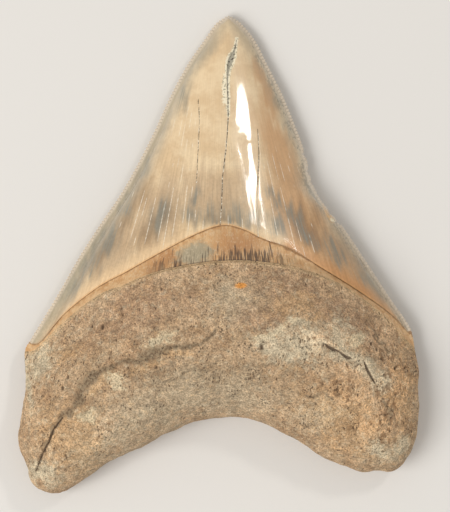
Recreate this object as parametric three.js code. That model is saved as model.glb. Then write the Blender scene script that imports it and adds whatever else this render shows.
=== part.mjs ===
// A fossil shark tooth, lying on its flat outer face with its tip along +Y.
// The crown, the neck band below it and the two-lobed root grew together, so the tooth is one solid.
// Millimetres, +Z up. The origin is under the middle of the tooth, on the surface that it lies on.

import * as THREE from 'three';

// Heights above the surface that the tooth lies on, and thicknesses
const TIP_THICKNESS = 2.3;
const NECK_THICKNESS = 14.0;
const ROOT_THICKNESS = 17.8;
const THICKENING_POWER = 0.75;      // how soon the crown thickens below the tip
const CROWN_ROUNDNESS = 1.9;        // 2 is a parabola across the crown
const TIP_EDGE_HEIGHT = 1.5;
const SHOULDER_EDGE_HEIGHT = 3.6;
const EDGE_CLIMB_POWER = 0.6;       // how soon the cutting edges lift below the tip
const ARCH_EDGE_RISE = 2.2;         // the root's widest level climbs this much towards the arch
const ARCH_EDGE_TURN = 0.9 * Math.PI; // and comes most of the way down again at the lobes' ends

// The flat outer face, and how the cutting edges lift off it
const FLAT_SHARE = 0.42;            // of the half width
const EDGE_LIFT_POWER = 1.7;
const ROOT_HOLLOW = 1.0;            // under the middle of the root
const HOLLOW_SHARE = 0.75;

// The root's form
const ROOT_ROUNDING = 7.5;          // radius of its inner face's edges
const ROOT_UNDER_ROUNDING = 4.5;
const LOBE_THINNING = 0.5;          // how much thinner the root gets towards its lobe ends
const BULGE_PLACE = 0.35;           // share of the way from neck to arch
const BULGE_FALL = 0.35;            // of the thickness, from the bulge to the arch
const BULGE_START = 0.38;
const LEDGE_HEIGHT = 0.6;           // where the root begins, below the neck band
const LEDGE_RUN = 0.5;
const LEDGE_FADE = 0.7;             // share of the ledge that is gone at the shoulders

// The enamel's lower border stands proud of the neck band
const NECK_WIDTH = 6.5;
const NECK_HOLLOW = 0.35;
const ENAMEL_LIP = 0.3;
const LIP_RUN = 0.5;

// Serrations: about sixteen to the centimetre
const SERRATION_PITCH = 0.63;
const SERRATION_HEIGHT = 0.24;
const SERRATION_FADE = 4.0;         // they shrink over this length towards the shoulders
const WORN_SHARE = 0.5;             // what wear has left of them down the right edge
const WORN_FROM = 21.0;

// Facets
const INNER_FACET = 1.7;            // the face that shows
const OUTER_FACET = 2.6;            // the face that it lies on
const RIM = 0.6;                    // band that the serrations are cut in
const ROOT_STEP = 1.2;              // along the root's outline
const NECK_ROWS = [0.3, 0.65];      // shares of the neck band's width
const SIDE_CROWDING = 0.7;          // facets get narrower towards the root's sides
const ARCH_CROWDING = 0.3;          // and towards its arch
const EXTRA_ROOT_ROWS = 3;

// The outline, seen from above: from the tip down the left side, along the arch and up the right side
const TIP = [1.8, 43.55];
const LEFT_CUTTING_EDGE = [
  [0.7, 43.0], [-0.7, 41.9], [-2.7, 39.0], [-5.7, 34.6], [-8.8, 28.8], [-11.5, 22.9], [-14.4, 17.1],
  [-17.7, 11.2], [-21.6, 5.4], [-25.4, -0.5], [-28.7, -6.3], [-32.2, -12.2], [-34.3, -15.6],
];
const LEFT_SHOULDER = [-35.4, -17.8];
const LEFT_ROOT_SIDE = [
  [-35.2, -21.7], [-35.2, -25.6], [-35.8, -29.0], [-36.4, -33.0], [-36.2, -35.2], [-35.3, -37.3],
  [-34.6, -39.0], [-34.4, -40.7],
];
const LEFT_LOBE_CORNER = [-33.3, -42.3];
const ARCH = [
  [-31.9, -43.1], [-30.1, -43.5], [-27.9, -43.1], [-25.7, -41.9], [-23.1, -39.9], [-19.8, -37.8],
  [-16.2, -35.8], [-12.5, -34.2], [-8.9, -32.2], [-5.2, -30.7], [-1.2, -29.9], [2.8, -29.5],
  [6.1, -30.0], [9.4, -31.3], [13.1, -33.3], [16.7, -35.5], [20.4, -37.5], [23.7, -38.8],
  [26.0, -39.6], [28.4, -39.4], [31.0, -39.6],
];
const RIGHT_LOBE_CORNER = [33.1, -38.7];
const RIGHT_ROOT_SIDE = [
  [34.5, -36.8], [35.4, -34.3], [36.0, -31.2], [36.5, -27.5], [36.1, -24.6], [36.3, -20.9],
];
const RIGHT_SHOULDER = [35.8, -17.4];
const RIGHT_CUTTING_EDGE = [
  [35.2, -14.3], [34.0, -12.0], [32.0, -9.2], [29.1, -4.8], [26.3, -0.5], [23.6, 3.9], [20.4, 9.8],
  [17.0, 16.3], [14.1, 22.9], [11.7, 28.8], [8.8, 34.6], [6.6, 39.0], [4.2, 42.0], [2.9, 43.0],
];

// The enamel's lower border, a chevron, and the line where the root begins, both from left to right
const CHEVRON = [
  [-32.3, -15.8], [-28.1, -10.9], [-22.0, -6.1], [-16.7, -3.2], [-10.1, 0.5], [-4.1, 3.6],
  [0.6, 5.2], [4.3, 4.5], [7.8, 2.8], [13.8, 0.3], [19.8, -3.2], [25.7, -6.9], [31.2, -10.8],
];
const ROOT_LINE = [
  [-33.2, -17.2], [-28.1, -12.3], [-22.0, -7.5], [-17.3, -5.6], [-13.1, -3.8], [-7.8, -2.4],
  [-1.7, -1.4], [1.9, -1.2], [5.4, -1.2], [10.9, -1.8], [16.2, -3.0], [21.5, -5.2], [25.7, -7.8],
  [31.0, -12.1],
];
const CHEVRON_ENDS = [[-34.6, -16.0], [35.0, -14.0]];

// What is broken out of the right cutting edge: one long shallow loss, and small bites in it
const LONG_LOSS = { y: 11.6, depth: 1.6, reach: 5.2 };
const BITES = [
  { y: 18.4, depth: 0.35, reach: 0.5 },
  { y: 15.5, depth: 0.35, reach: 0.7 },
  { y: 13.8, depth: 0.25, reach: 0.5 },
  { y: 7.9, depth: 0.3, reach: 0.6 },
  { y: 6.2, depth: 0.35, reach: 0.5 },
];

const NECK_Y = -1.3;                // where the root line crosses the middle of the tooth
const OUTLINE_SAMPLES = 4000;
const ENAMEL_COLOUR = 0xb89f80;

const clamp = THREE.MathUtils.clamp;
const lerp = THREE.MathUtils.lerp;
const smoothstep = THREE.MathUtils.smoothstep;
const plane = ([x, y]) => new THREE.Vector2(x, y);
const space = ([x, y]) => new THREE.Vector3(x, y, 0);

// The outline as one closed curve
const outline = new THREE.CatmullRomCurve3(
  [
    TIP, ...LEFT_CUTTING_EDGE, LEFT_SHOULDER, ...LEFT_ROOT_SIDE, LEFT_LOBE_CORNER, ...ARCH,
    RIGHT_LOBE_CORNER, ...RIGHT_ROOT_SIDE, RIGHT_SHOULDER, ...RIGHT_CUTTING_EDGE,
  ].map(space),
  true,
  'catmullrom',
);
outline.arcLengthDivisions = OUTLINE_SAMPLES;
const outlineLength = outline.getLength();
const samples = outline.getSpacedPoints(OUTLINE_SAMPLES);

// Station of the outline's nearest point: 0 at the tip, growing down the left side, 1 at the tip again
function stationOf(point) {
  const target = space(point);
  let best = 0;
  samples.forEach((sample, i) => {
    if (sample.distanceTo(target) < samples[best].distanceTo(target)) best = i;
  });
  return best / OUTLINE_SAMPLES;
}

const LEFT_SHOULDER_STATION = stationOf(LEFT_SHOULDER);
const LEFT_CHEVRON_STATION = stationOf(CHEVRON_ENDS[0]);
const LEFT_LOBE_STATION = stationOf(LEFT_LOBE_CORNER);
const RIGHT_LOBE_STATION = stationOf(RIGHT_LOBE_CORNER);
const RIGHT_SHOULDER_STATION = stationOf(RIGHT_SHOULDER);
const RIGHT_CHEVRON_STATION = stationOf(CHEVRON_ENDS[1]);

// A point of the outline, moved inwards
function inside(station, depth) {
  const at = outline.getPointAt(clamp(station, 0, 1));
  const tangent = outline.getTangentAt(clamp(station, 0, 1));
  return new THREE.Vector2(at.x - tangent.y * depth, at.y + tangent.x * depth);
}

// How deep the right cutting edge is broken at a station
const bell = ({ y: middle, depth, reach }, y) => depth * Math.exp(-(((y - middle) / reach) ** 2));

function lossAt(station, losses) {
  if (station < RIGHT_SHOULDER_STATION) return 0;
  const { y } = outline.getPointAt(clamp(station, 0, 1));
  return losses.reduce((sum, loss) => sum + bell(loss, y), 0);
}

function depthInside(x, y) {
  let nearest = Infinity;
  for (let i = 0; i < OUTLINE_SAMPLES; i += 4) {
    nearest = Math.min(nearest, Math.hypot(samples[i].x - x, samples[i].y - y));
  }
  return nearest;
}

// The lines that part root, neck band and enamel, and the patches between them.
// Each patch is filled between a lower line, an upper line and the two sides of the tooth.
const rootLine = new THREE.SplineCurve([
  inside(LEFT_SHOULDER_STATION, RIM), ...ROOT_LINE.map(plane), inside(RIGHT_SHOULDER_STATION, RIM),
]);
const chevron = new THREE.SplineCurve([
  inside(LEFT_CHEVRON_STATION, RIM), ...CHEVRON.map(plane), inside(RIGHT_CHEVRON_STATION, RIM),
]);
const archLine = { getPointAt: (t) => inside(lerp(LEFT_LOBE_STATION, RIGHT_LOBE_STATION, t), RIM) };
const tipPoint = { getPointAt: () => inside(0, RIM) };

const PATCHES = {
  root: {
    lower: archLine,
    upper: rootLine,
    left: [LEFT_LOBE_STATION, LEFT_SHOULDER_STATION],
    right: [RIGHT_LOBE_STATION, RIGHT_SHOULDER_STATION],
  },
  neck: {
    lower: rootLine,
    upper: chevron,
    left: [LEFT_SHOULDER_STATION, LEFT_CHEVRON_STATION],
    right: [RIGHT_SHOULDER_STATION, RIGHT_CHEVRON_STATION],
  },
  enamel: {
    lower: chevron,
    upper: tipPoint,
    left: [LEFT_CHEVRON_STATION, 0],
    right: [RIGHT_CHEVRON_STATION, 1],
  },
};

// Coons patch: across runs 0 to 1 from left to right, up runs 0 to 1 from the lower to the upper line
function patchPoint({ lower, upper, left, right }, across, up) {
  const onLeft = inside(lerp(...left, up), RIM);
  const rightStation = lerp(...right, up);
  const onRight = inside(rightStation, RIM + lossAt(rightStation, [LONG_LOSS]));
  return new THREE.Vector2()
    .addScaledVector(lower.getPointAt(across), 1 - up)
    .addScaledVector(upper.getPointAt(across), up)
    .addScaledVector(onLeft, 1 - across)
    .addScaledVector(onRight, across)
    .addScaledVector(lower.getPointAt(0), -(1 - across) * (1 - up))
    .addScaledVector(lower.getPointAt(1), -across * (1 - up))
    .addScaledVector(upper.getPointAt(0), -(1 - across) * up)
    .addScaledVector(upper.getPointAt(1), -across * up);
}

// Level of the outline above the surface that the tooth lies on
function edgeHeight(y) {
  const [, tipY] = TIP;
  const [, shoulderY] = LEFT_SHOULDER;
  if (y > shoulderY) {
    const down = clamp((tipY - y) / (tipY - shoulderY), 0, 1);
    return lerp(TIP_EDGE_HEIGHT, SHOULDER_EDGE_HEIGHT, down ** EDGE_CLIMB_POWER);
  }
  const down = clamp((shoulderY - y) / (shoulderY + tipY), 0, 1);
  return SHOULDER_EDGE_HEIGHT + ARCH_EDGE_RISE * Math.sin(down * ARCH_EDGE_TURN);
}

// Height of the crown's ridge where a row of the given middle crosses it
function ridgeHeight(middleY) {
  const [, tipY] = TIP;
  const down = clamp((tipY - middleY) / (tipY - NECK_Y), 0, 1);
  return lerp(TIP_THICKNESS, NECK_THICKNESS, down ** THICKENING_POWER);
}

function crownHeight({ y, side, middleY }) {
  const edge = edgeHeight(y);
  return edge + (ridgeHeight(middleY) - edge) * (1 - side ** CROWN_ROUNDNESS);
}

// A quarter round: 0 at the outline, 1 from the radius inwards
function rounding(depth, radius) {
  const left = 1 - clamp(depth / radius, 0, 1);
  return Math.sqrt(1 - left * left);
}

function rootHeight(point) {
  const { x, y, side, down } = point;
  const fall = BULGE_FALL * (1 - side ** 2);
  const bulge = 1 - fall * ((down - BULGE_PLACE) / (1 - BULGE_PLACE)) ** 2;
  const roof = ROOT_THICKNESS * (1 - LOBE_THINNING * side ** 2) * bulge;
  const edge = edgeHeight(y);
  const body = edge + Math.max(roof - edge, 0) * rounding(depthInside(x, y), ROOT_ROUNDING);
  const ledge = LEDGE_HEIGHT * (1 - LEDGE_FADE * side ** 2);
  return lerp(crownHeight(point) + ledge, body, smoothstep(down, 0, BULGE_START));
}

function innerHeight(point) {
  const { part, down, up, side } = point;
  if (part === 'root' && down > 0) return rootHeight(point);
  if (part === 'neck' && up > 0 && up < 1) {
    const hollow = NECK_HOLLOW * Math.sin(Math.PI * up) + ENAMEL_LIP;
    return crownHeight(point) - hollow * (1 - side ** 4);
  }
  return crownHeight(point);
}

function outerHeight({ x, y, side, down }) {
  const edge = edgeHeight(y);
  const lift = clamp((side - FLAT_SHARE) / (1 - FLAT_SHARE), 0, 1);
  const crown = edge * lift ** EDGE_LIFT_POWER;
  const hollow = ROOT_HOLLOW * clamp(1 - (side / HOLLOW_SHARE) ** 2, 0, 1);
  const root = lerp(edge, hollow, down > 0 ? rounding(depthInside(x, y), ROOT_UNDER_ROUNDING) : 0);
  return lerp(crown, root, smoothstep(down, 0, BULGE_START));
}

// Places of the facets: closer together where the root rounds over at its arch and its sides
const evenly = (count) => Array.from({ length: count + 1 }, (_, i) => i / count);
const crowdStart = (t) => t - ARCH_CROWDING * Math.sin(Math.PI * t) * (1 - t / 2);
const crowdEnds = (t, amount) => t - (amount / (2 * Math.PI)) * Math.sin(2 * Math.PI * t);

function sideLength([from, to]) {
  return Math.abs(to - from) * outlineLength;
}

function rowsUp(name, facet) {
  const count = Math.max(2, Math.round(sideLength(PATCHES[name].left) / facet));
  if (name === 'root') {
    const ups = evenly(count + EXTRA_ROOT_ROWS).map(crowdStart);
    ups.splice(ups.length - 1, 0, 1 - LEDGE_RUN / sideLength(PATCHES.root.left));
    return ups;
  }
  if (name === 'neck') return [...NECK_ROWS, 1 - LIP_RUN / NECK_WIDTH, 1];
  return evenly(count).slice(1);
}

// One face's rows of points, from the arch up to the tip, each row from left to right
function faceRows(facet) {
  const rows = [];
  for (const name of ['root', 'neck', 'enamel']) {
    const patch = PATCHES[name];
    for (const up of rowsUp(name, facet)) {
      const [start, middle, end] = [0, 0.5, 1].map((across) => patchPoint(patch, across, up));
      const width = start.distanceTo(middle) + middle.distanceTo(end);
      const cells = Math.max(2, Math.round(width / facet));
      const crowding = name === 'root' ? SIDE_CROWDING * smoothstep(1 - up, 0, BULGE_START) : 0;
      const isTip = patch.upper === tipPoint && up === 1;
      const places = isTip ? [0.5] : evenly(cells).map((t) => crowdEnds(t, crowding));
      const rightStation = lerp(...patch.right, up);
      const whole = width + 2 * RIM + lossAt(rightStation, [LONG_LOSS]);
      rows.push({
        leftStation: lerp(...patch.left, up),
        rightStation,
        points: places.map((across) => {
          const { x, y } = patchPoint(patch, across, up);
          const down = name === 'root' ? 1 - up : 0;
          const side = Math.abs((2 * (across * width + RIM)) / whole - 1);
          return { x, y, across, up, down, side, part: name, middleY: middle.y };
        }),
      });
    }
  }
  return rows;
}

// The edge of the tooth: two points to each serration down the cutting edges, plain steps round the root
function serrationShift(station, isPoint) {
  const { y } = outline.getPointAt(station);
  const toShoulder = Math.min(
    Math.abs(station - LEFT_SHOULDER_STATION),
    Math.abs(station - RIGHT_SHOULDER_STATION),
  ) * outlineLength;
  const worn = station > RIGHT_SHOULDER_STATION && y < WORN_FROM ? WORN_SHARE : 1;
  const height = SERRATION_HEIGHT * worn * clamp(toShoulder / SERRATION_FADE, 0, 1);
  return lossAt(station, [LONG_LOSS, ...BITES]) + (isPoint ? -height / 2 : height / 2);
}

function edgePoints() {
  const points = [];
  const addCuttingEdge = (from, to) => {
    const halves = 2 * Math.round(((to - from) * outlineLength) / SERRATION_PITCH);
    for (let i = 0; i < halves; i += 1) {
      const station = lerp(from, to, i / halves);
      const { x, y } = inside(station, serrationShift(station, i % 2 === 0));
      points.push({ station, x, y });
    }
  };
  addCuttingEdge(0, LEFT_SHOULDER_STATION);
  const rootLength = (RIGHT_SHOULDER_STATION - LEFT_SHOULDER_STATION) * outlineLength;
  const steps = Math.round(rootLength / ROOT_STEP);
  for (let i = 0; i < steps; i += 1) {
    const station = lerp(LEFT_SHOULDER_STATION, RIGHT_SHOULDER_STATION, i / steps);
    const { x, y } = inside(station, 0);
    points.push({ station, x, y });
  }
  addCuttingEdge(RIGHT_SHOULDER_STATION, 1);
  return points;
}

// Triangles between two lines of points that run the same way, the upper one to the left of the lower
function zip(lower, upper, triangles) {
  let i = 0;
  let j = 0;
  while (i < lower.length - 1 || j < upper.length - 1) {
    const lowerNext = i < lower.length - 1 ? lower[i].place + lower[i + 1].place : Infinity;
    const upperNext = j < upper.length - 1 ? upper[j].place + upper[j + 1].place : Infinity;
    if (lowerNext <= upperNext) {
      triangles.push([lower[i].id, lower[i + 1].id, upper[j].id]);
      i += 1;
    } else {
      triangles.push([upper[j + 1].id, upper[j].id, lower[i].id]);
      j += 1;
    }
  }
}

function buildTooth() {
  const positions = [];
  const triangles = [];
  const addVertex = (x, y, z) => positions.push(x, y, z) / 3 - 1;

  const rim = edgePoints().map(({ station, x, y }) => ({
    id: addVertex(x, y, edgeHeight(y)),
    place: station,
  }));
  rim.push({ id: rim[0].id, place: 1 });

  const addFace = (facet, height) => {
    const face = [];
    const rows = faceRows(facet).map(({ points, ...stations }) => ({
      ...stations,
      line: points.map((point) => ({
        id: addVertex(point.x, point.y, height(point)),
        place: point.across,
      })),
    }));
    for (let k = 1; k < rows.length; k += 1) zip(rows[k - 1].line, rows[k].line, face);
    const archRow = rows[0].line.map(({ id, place }) => ({
      id,
      place: lerp(LEFT_LOBE_STATION, RIGHT_LOBE_STATION, place),
    }));
    const leftEnds = rows.map(({ line, leftStation }) => ({ id: line[0].id, place: leftStation }));
    const rightEnds = rows.map(({ line, rightStation }) => ({ id: line.at(-1).id, place: rightStation }));
    const border = [...leftEnds.reverse(), ...archRow.slice(1, -1), ...rightEnds];
    zip(rim, border, face);
    return face;
  };
  triangles.push(...addFace(INNER_FACET, innerHeight));
  for (const [a, b, c] of addFace(OUTER_FACET, outerHeight)) triangles.push([a, c, b]);

  const geometry = new THREE.BufferGeometry();
  geometry.setAttribute('position', new THREE.Float32BufferAttribute(positions, 3));
  geometry.setIndex(triangles.flat());
  geometry.computeBoundingBox();
  const { min, max } = geometry.boundingBox;
  geometry.translate(-(min.x + max.x) / 2, -(min.y + max.y) / 2, -min.z);
  geometry.computeVertexNormals();
  return geometry;
}

const enamelAndRoot = new THREE.MeshStandardMaterial({
  color: ENAMEL_COLOUR,
  roughness: 0.5,
  metalness: 0,
});

const tooth = new THREE.Mesh(buildTooth(), enamelAndRoot);
tooth.name = 'tooth';

const fossil = new THREE.Group();
fossil.add(tooth);

export default fossil;
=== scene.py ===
# %% [markdown]
# # A fossil shark tooth
#
# The tooth lies on its flat outer face, so that the bulging inner face looks up. It has three skins:
# glossy enamel on the crown, a satin neck band below it, and a matt, pitted root. They grew together
# as one body, so one mesh carries all three, and three materials part them.
#
# The imported solid gives the place. Its facets are about 2 mm wide, so the fine surface is made
# here as a new mesh on the same outline, and stands in for the solid.

# %% Load the imported solid
import math

import bpy
import numpy as np
from mathutils import Matrix, Vector, noise
from mathutils.kdtree import KDTree


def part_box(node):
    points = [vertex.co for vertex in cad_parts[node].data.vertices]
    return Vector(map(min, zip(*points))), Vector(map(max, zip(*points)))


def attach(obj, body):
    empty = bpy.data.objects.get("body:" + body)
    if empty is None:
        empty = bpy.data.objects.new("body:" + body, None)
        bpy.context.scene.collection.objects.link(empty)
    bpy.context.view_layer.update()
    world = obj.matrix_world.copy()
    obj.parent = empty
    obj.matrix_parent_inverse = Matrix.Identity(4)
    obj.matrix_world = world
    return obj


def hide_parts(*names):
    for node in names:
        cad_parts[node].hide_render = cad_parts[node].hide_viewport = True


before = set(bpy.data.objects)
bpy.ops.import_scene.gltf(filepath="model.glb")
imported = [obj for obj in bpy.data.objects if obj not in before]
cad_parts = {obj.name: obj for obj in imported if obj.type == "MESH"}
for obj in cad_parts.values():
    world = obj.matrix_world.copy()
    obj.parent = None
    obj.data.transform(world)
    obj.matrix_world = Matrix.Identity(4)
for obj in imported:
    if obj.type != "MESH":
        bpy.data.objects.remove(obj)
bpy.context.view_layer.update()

# %% [markdown]
# ## Camera
#
# The photograph looks straight down, so the camera needs no turning: Blender's camera looks along -Z
# with +Y up when its rotation is zero. A long lens from 0.6 m keeps the outline free of perspective.
# The lens is worked out from how many millimetres the picture's long side spans at the cutting edges.

# %% Put the camera over the tooth
MM = 0.001
PICTURE_LENGTH = 93.6       # millimetres that the picture's long side spans
EDGE_LEVEL = 3.0            # height of the cutting edges above the floor
CAMERA_HEIGHT = 600.0
CAMERA_OVER = (1.1, -0.4)
SENSOR = 36.0

camera_data = bpy.data.cameras.new("camera")
camera_data.sensor_width = SENSOR
camera_data.lens = SENSOR * (CAMERA_HEIGHT - EDGE_LEVEL) / PICTURE_LENGTH
camera = bpy.data.objects.new("camera", camera_data)
camera.location = (CAMERA_OVER[0] * MM, CAMERA_OVER[1] * MM, CAMERA_HEIGHT * MM)
bpy.context.collection.objects.link(camera)
bpy.context.scene.camera = camera
print("lens", round(camera_data.lens, 1), "mm")

# %% [markdown]
# ## Floor and light
#
# The floor is plain and pale. Three sources light the tooth: a pale sky all round, a large soft light
# on the left that models the form, and a small hard one on the right towards the tip. Glossy
# enamel mirrors the small one in the long white streak beside the middle of the crown. The large one
# is kept out of reflections, because the photograph shows no broad sheen on the left.
# The view transform is Standard, so that a colour in a material comes out as it was chosen.

# %% Make the floor and the lights
FLOOR_SIZE = 4.0
FLOOR_COLOUR = (0.80, 0.78, 0.75, 1)
SKY_COLOUR = (1.0, 0.98, 0.95, 1)
SKY_STRENGTH = 0.48
TOOTH_MIDDLE = Vector((0, 0, 0.006))
# Each light: azimuth, elevation, distance, size, power, colour
SOFT_LIGHT = (203, 52, 1.0, (0.6, 0.6), 6.2, (1.0, 0.98, 0.95))
HARD_LIGHT = (44, 46, 0.9, (0.08, 0.10), 0.9, (1.0, 0.97, 0.92))


def make_floor():
    half = FLOOR_SIZE / 2
    mesh = bpy.data.meshes.new("floor")
    corners = [(-half, -half, 0), (half, -half, 0), (half, half, 0), (-half, half, 0)]
    mesh.from_pydata(corners, [], [(0, 1, 2, 3)])
    floor = bpy.data.objects.new("floor", mesh)
    bpy.context.collection.objects.link(floor)
    material = bpy.data.materials.new("pale_floor")
    material.use_nodes = True
    shader = material.node_tree.nodes["Principled BSDF"]
    shader.inputs["Base Color"].default_value = FLOOR_COLOUR
    shader.inputs["Roughness"].default_value = 0.9
    mesh.materials.append(material)


def make_light(name, azimuth, elevation, distance, size, power, colour):
    """An area light that faces the tooth, its first side along X. Azimuth runs from +X towards +Y."""
    turn = math.radians(azimuth)
    lift = math.radians(elevation)
    towards = Vector((math.cos(lift) * math.cos(turn), math.cos(lift) * math.sin(turn), math.sin(lift)))
    along = (Vector((1, 0, 0)) - towards * towards.x).normalized()
    data = bpy.data.lights.new(name, "AREA")
    data.shape = "RECTANGLE"
    data.size, data.size_y = size
    data.energy = power
    data.color = colour
    light = bpy.data.objects.new(name, data)
    light.location = TOOTH_MIDDLE + towards * distance
    light.rotation_euler = Matrix((along, towards.cross(along), towards)).transposed().to_euler()
    bpy.context.collection.objects.link(light)
    return light


make_floor()
soft_light = make_light("soft_light", *SOFT_LIGHT)
soft_light.visible_glossy = False
make_light("hard_light", *HARD_LIGHT)

world = bpy.data.worlds.new("sky")
world.use_nodes = True
world.node_tree.nodes["Background"].inputs["Color"].default_value = SKY_COLOUR
world.node_tree.nodes["Background"].inputs["Strength"].default_value = SKY_STRENGTH
bpy.context.scene.world = world
bpy.context.scene.view_settings.view_transform = "Standard"

# %% [markdown]
# ## The outline
#
# Seen from above, a few points in millimetres and one smooth curve through them give the
# tooth's outline. A place on it is a station: 0 at the tip, growing down the left side and along the
# arch of the root, and 1 at the tip again. Every later step asks the outline for the point at a
# station, or for one a little inside it.

# %% Curves through a few points
CURVE_STEPS = 80


def blend(a, b, share):
    return a + (b - a) * share


def soft_step(value, low, high):
    """0 below low, 1 above high, and a smooth climb between."""
    t = np.clip((value - low) / (high - low), 0, 1)
    return t * t * (3 - 2 * t)


def smooth_curve(points, closed=False):
    """Closely spaced points on a curve that passes through all the given ones."""
    p = np.array(points, float)
    p = np.vstack([p[-1:], p, p[:2]]) if closed else np.vstack([p[:1], p, p[-1:]])
    t = np.linspace(0, 1, CURVE_STEPS, endpoint=False)[:, None]
    pieces = []
    for before, start, end, after in zip(p, p[1:], p[2:], p[3:]):
        leave = (end - before) / 2
        arrive = (after - start) / 2
        rise = end - start
        square = 3 * rise - 2 * leave - arrive
        cube = leave + arrive - 2 * rise
        pieces.append(start + leave * t + square * t**2 + cube * t**3)
    pieces.append(p[-2:-1])
    return np.vstack(pieces)


class Curve:
    """A curve that gives the point at any share of its length."""

    def __init__(self, points):
        self.points = points
        steps = np.hypot(*np.diff(points[:, :2], axis=0).T)
        reach = np.concatenate([[0], np.cumsum(steps)])
        self.length = reach[-1]
        self.shares = reach / self.length

    def at(self, share):
        return np.stack([np.interp(share, self.shares, column) for column in self.points.T], axis=-1)


# %% The outline of the tooth
TIP = (1.8, 43.55)
LEFT_CUTTING_EDGE = [
    (0.7, 43.0), (-0.7, 41.9), (-2.7, 39.0), (-5.7, 34.6), (-8.8, 28.8), (-11.5, 22.9), (-14.4, 17.1),
    (-17.7, 11.2), (-21.6, 5.4), (-25.4, -0.5), (-28.7, -6.3), (-32.2, -12.2), (-34.3, -15.6),
]
LEFT_SHOULDER = (-35.4, -17.8)
LEFT_ROOT_SIDE = [
    (-35.2, -21.7), (-35.2, -25.6), (-35.8, -29.0), (-36.4, -33.0), (-36.2, -35.2), (-35.3, -37.3),
    (-34.6, -39.0), (-34.4, -40.7),
]
LEFT_LOBE_CORNER = (-33.3, -42.3)
ARCH = [
    (-31.9, -43.1), (-30.1, -43.5), (-27.9, -43.1), (-25.7, -41.9), (-23.1, -39.9), (-19.8, -37.8),
    (-16.2, -35.8), (-12.5, -34.2), (-8.9, -32.2), (-5.2, -30.7), (-1.2, -29.9), (2.8, -29.5),
    (6.1, -30.0), (9.4, -31.3), (13.1, -33.3), (16.7, -35.5), (20.4, -37.5), (23.7, -38.8),
    (26.0, -39.6), (28.4, -39.4), (31.0, -39.6),
]
RIGHT_LOBE_CORNER = (33.1, -38.7)
RIGHT_ROOT_SIDE = [(34.5, -36.8), (35.4, -34.3), (36.0, -31.2), (36.5, -27.5), (36.1, -24.6), (36.3, -20.9)]
RIGHT_SHOULDER = (35.8, -17.4)
RIGHT_CUTTING_EDGE = [
    (35.2, -14.3), (34.0, -12.0), (32.0, -9.2), (29.1, -4.8), (26.3, -0.5), (23.6, 3.9), (20.4, 9.8),
    (17.0, 16.3), (14.1, 22.9), (11.7, 28.8), (8.8, 34.6), (6.6, 39.0), (4.2, 42.0), (2.9, 43.0),
]

outline = Curve(smooth_curve([
    TIP, *LEFT_CUTTING_EDGE, LEFT_SHOULDER, *LEFT_ROOT_SIDE, LEFT_LOBE_CORNER, *ARCH,
    RIGHT_LOBE_CORNER, *RIGHT_ROOT_SIDE, RIGHT_SHOULDER, *RIGHT_CUTTING_EDGE,
], closed=True))


def station_of(point):
    gaps = np.hypot(*(outline.points - point).T)
    return outline.shares[gaps.argmin()]


LEFT_CHEVRON_END = (-34.6, -16.0)
RIGHT_CHEVRON_END = (35.0, -14.0)
left_shoulder = station_of(LEFT_SHOULDER)
left_chevron = station_of(LEFT_CHEVRON_END)
left_lobe = station_of(LEFT_LOBE_CORNER)
right_lobe = station_of(RIGHT_LOBE_CORNER)
right_shoulder = station_of(RIGHT_SHOULDER)
right_chevron = station_of(RIGHT_CHEVRON_END)
print("outline", round(outline.length, 1), "mm long")

# %% [markdown]
# ## What is broken and what is cut
#
# The right cutting edge has lost a long shallow flake and some small bites. Down both cutting edges run
# the serrations, about sixteen to the centimetre: round teeth with sharp notches between them, worn to
# half their height low on the right. The rim is the narrow band that they are cut in. Round the root
# there are none, and the rim shrinks to almost nothing so that the faces can meet in a full curve.

# %% The rim
SERRATION_PITCH = 0.63
SERRATION_HEIGHT = 0.24
SERRATION_FADE = 4.0
WORN_SHARE = 0.5
WORN_FROM = 21.0
LONG_LOSS = (11.6, 1.6, 5.2)                # y, depth and reach
BITES = [(18.4, 0.35, 0.5), (15.5, 0.35, 0.7), (13.8, 0.25, 0.5), (7.9, 0.3, 0.6), (6.2, 0.35, 0.5)]
CROWN_RIM = 0.6
ROOT_RIM = 0.01
RIM_CHANGE = 0.008                          # in stations, about 3 mm


def bell(y, middle, depth, reach):
    return depth * np.exp(-(((y - middle) / reach) ** 2))


def loss_at(station, losses):
    y = outline.at(np.clip(station, 0, 1))[..., 1]
    return np.where(station < right_shoulder, 0, sum(bell(y, *loss) for loss in losses))


def rim_at(station):
    """How wide the rim is: full on the cutting edges, next to nothing round the root."""
    on_root = soft_step(station, left_shoulder - RIM_CHANGE, left_shoulder)
    on_root = on_root * (1 - soft_step(station, right_shoulder, right_shoulder + RIM_CHANGE))
    return blend(CROWN_RIM, ROOT_RIM, on_root)


def inside(station, depth):
    """The outline's point at a station, moved inwards."""
    small = 0.0004
    station = np.clip(station, 0, 1)
    ahead = outline.at(np.clip(station + small, 0, 1)) - outline.at(np.clip(station - small, 0, 1))
    ahead = ahead / np.linalg.norm(ahead, axis=-1, keepdims=True)
    inwards = np.stack([-ahead[..., 1], ahead[..., 0]], axis=-1)
    return outline.at(station) + inwards * np.asarray(depth)[..., None]


def serration_at(station, phase):
    """How far the edge is moved inwards. Phase is 0 on a serration's crest and 0.5 in the notch."""
    y = outline.at(station)[..., 1]
    to_shoulder = np.minimum(abs(station - left_shoulder), abs(station - right_shoulder)) * outline.length
    worn = np.where((station > right_shoulder) & (y < WORN_FROM), WORN_SHARE, 1)
    height = SERRATION_HEIGHT * worn * np.clip(to_shoulder / SERRATION_FADE, 0, 1)
    return height * (0.5 - abs(np.cos(np.pi * phase)))


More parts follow.
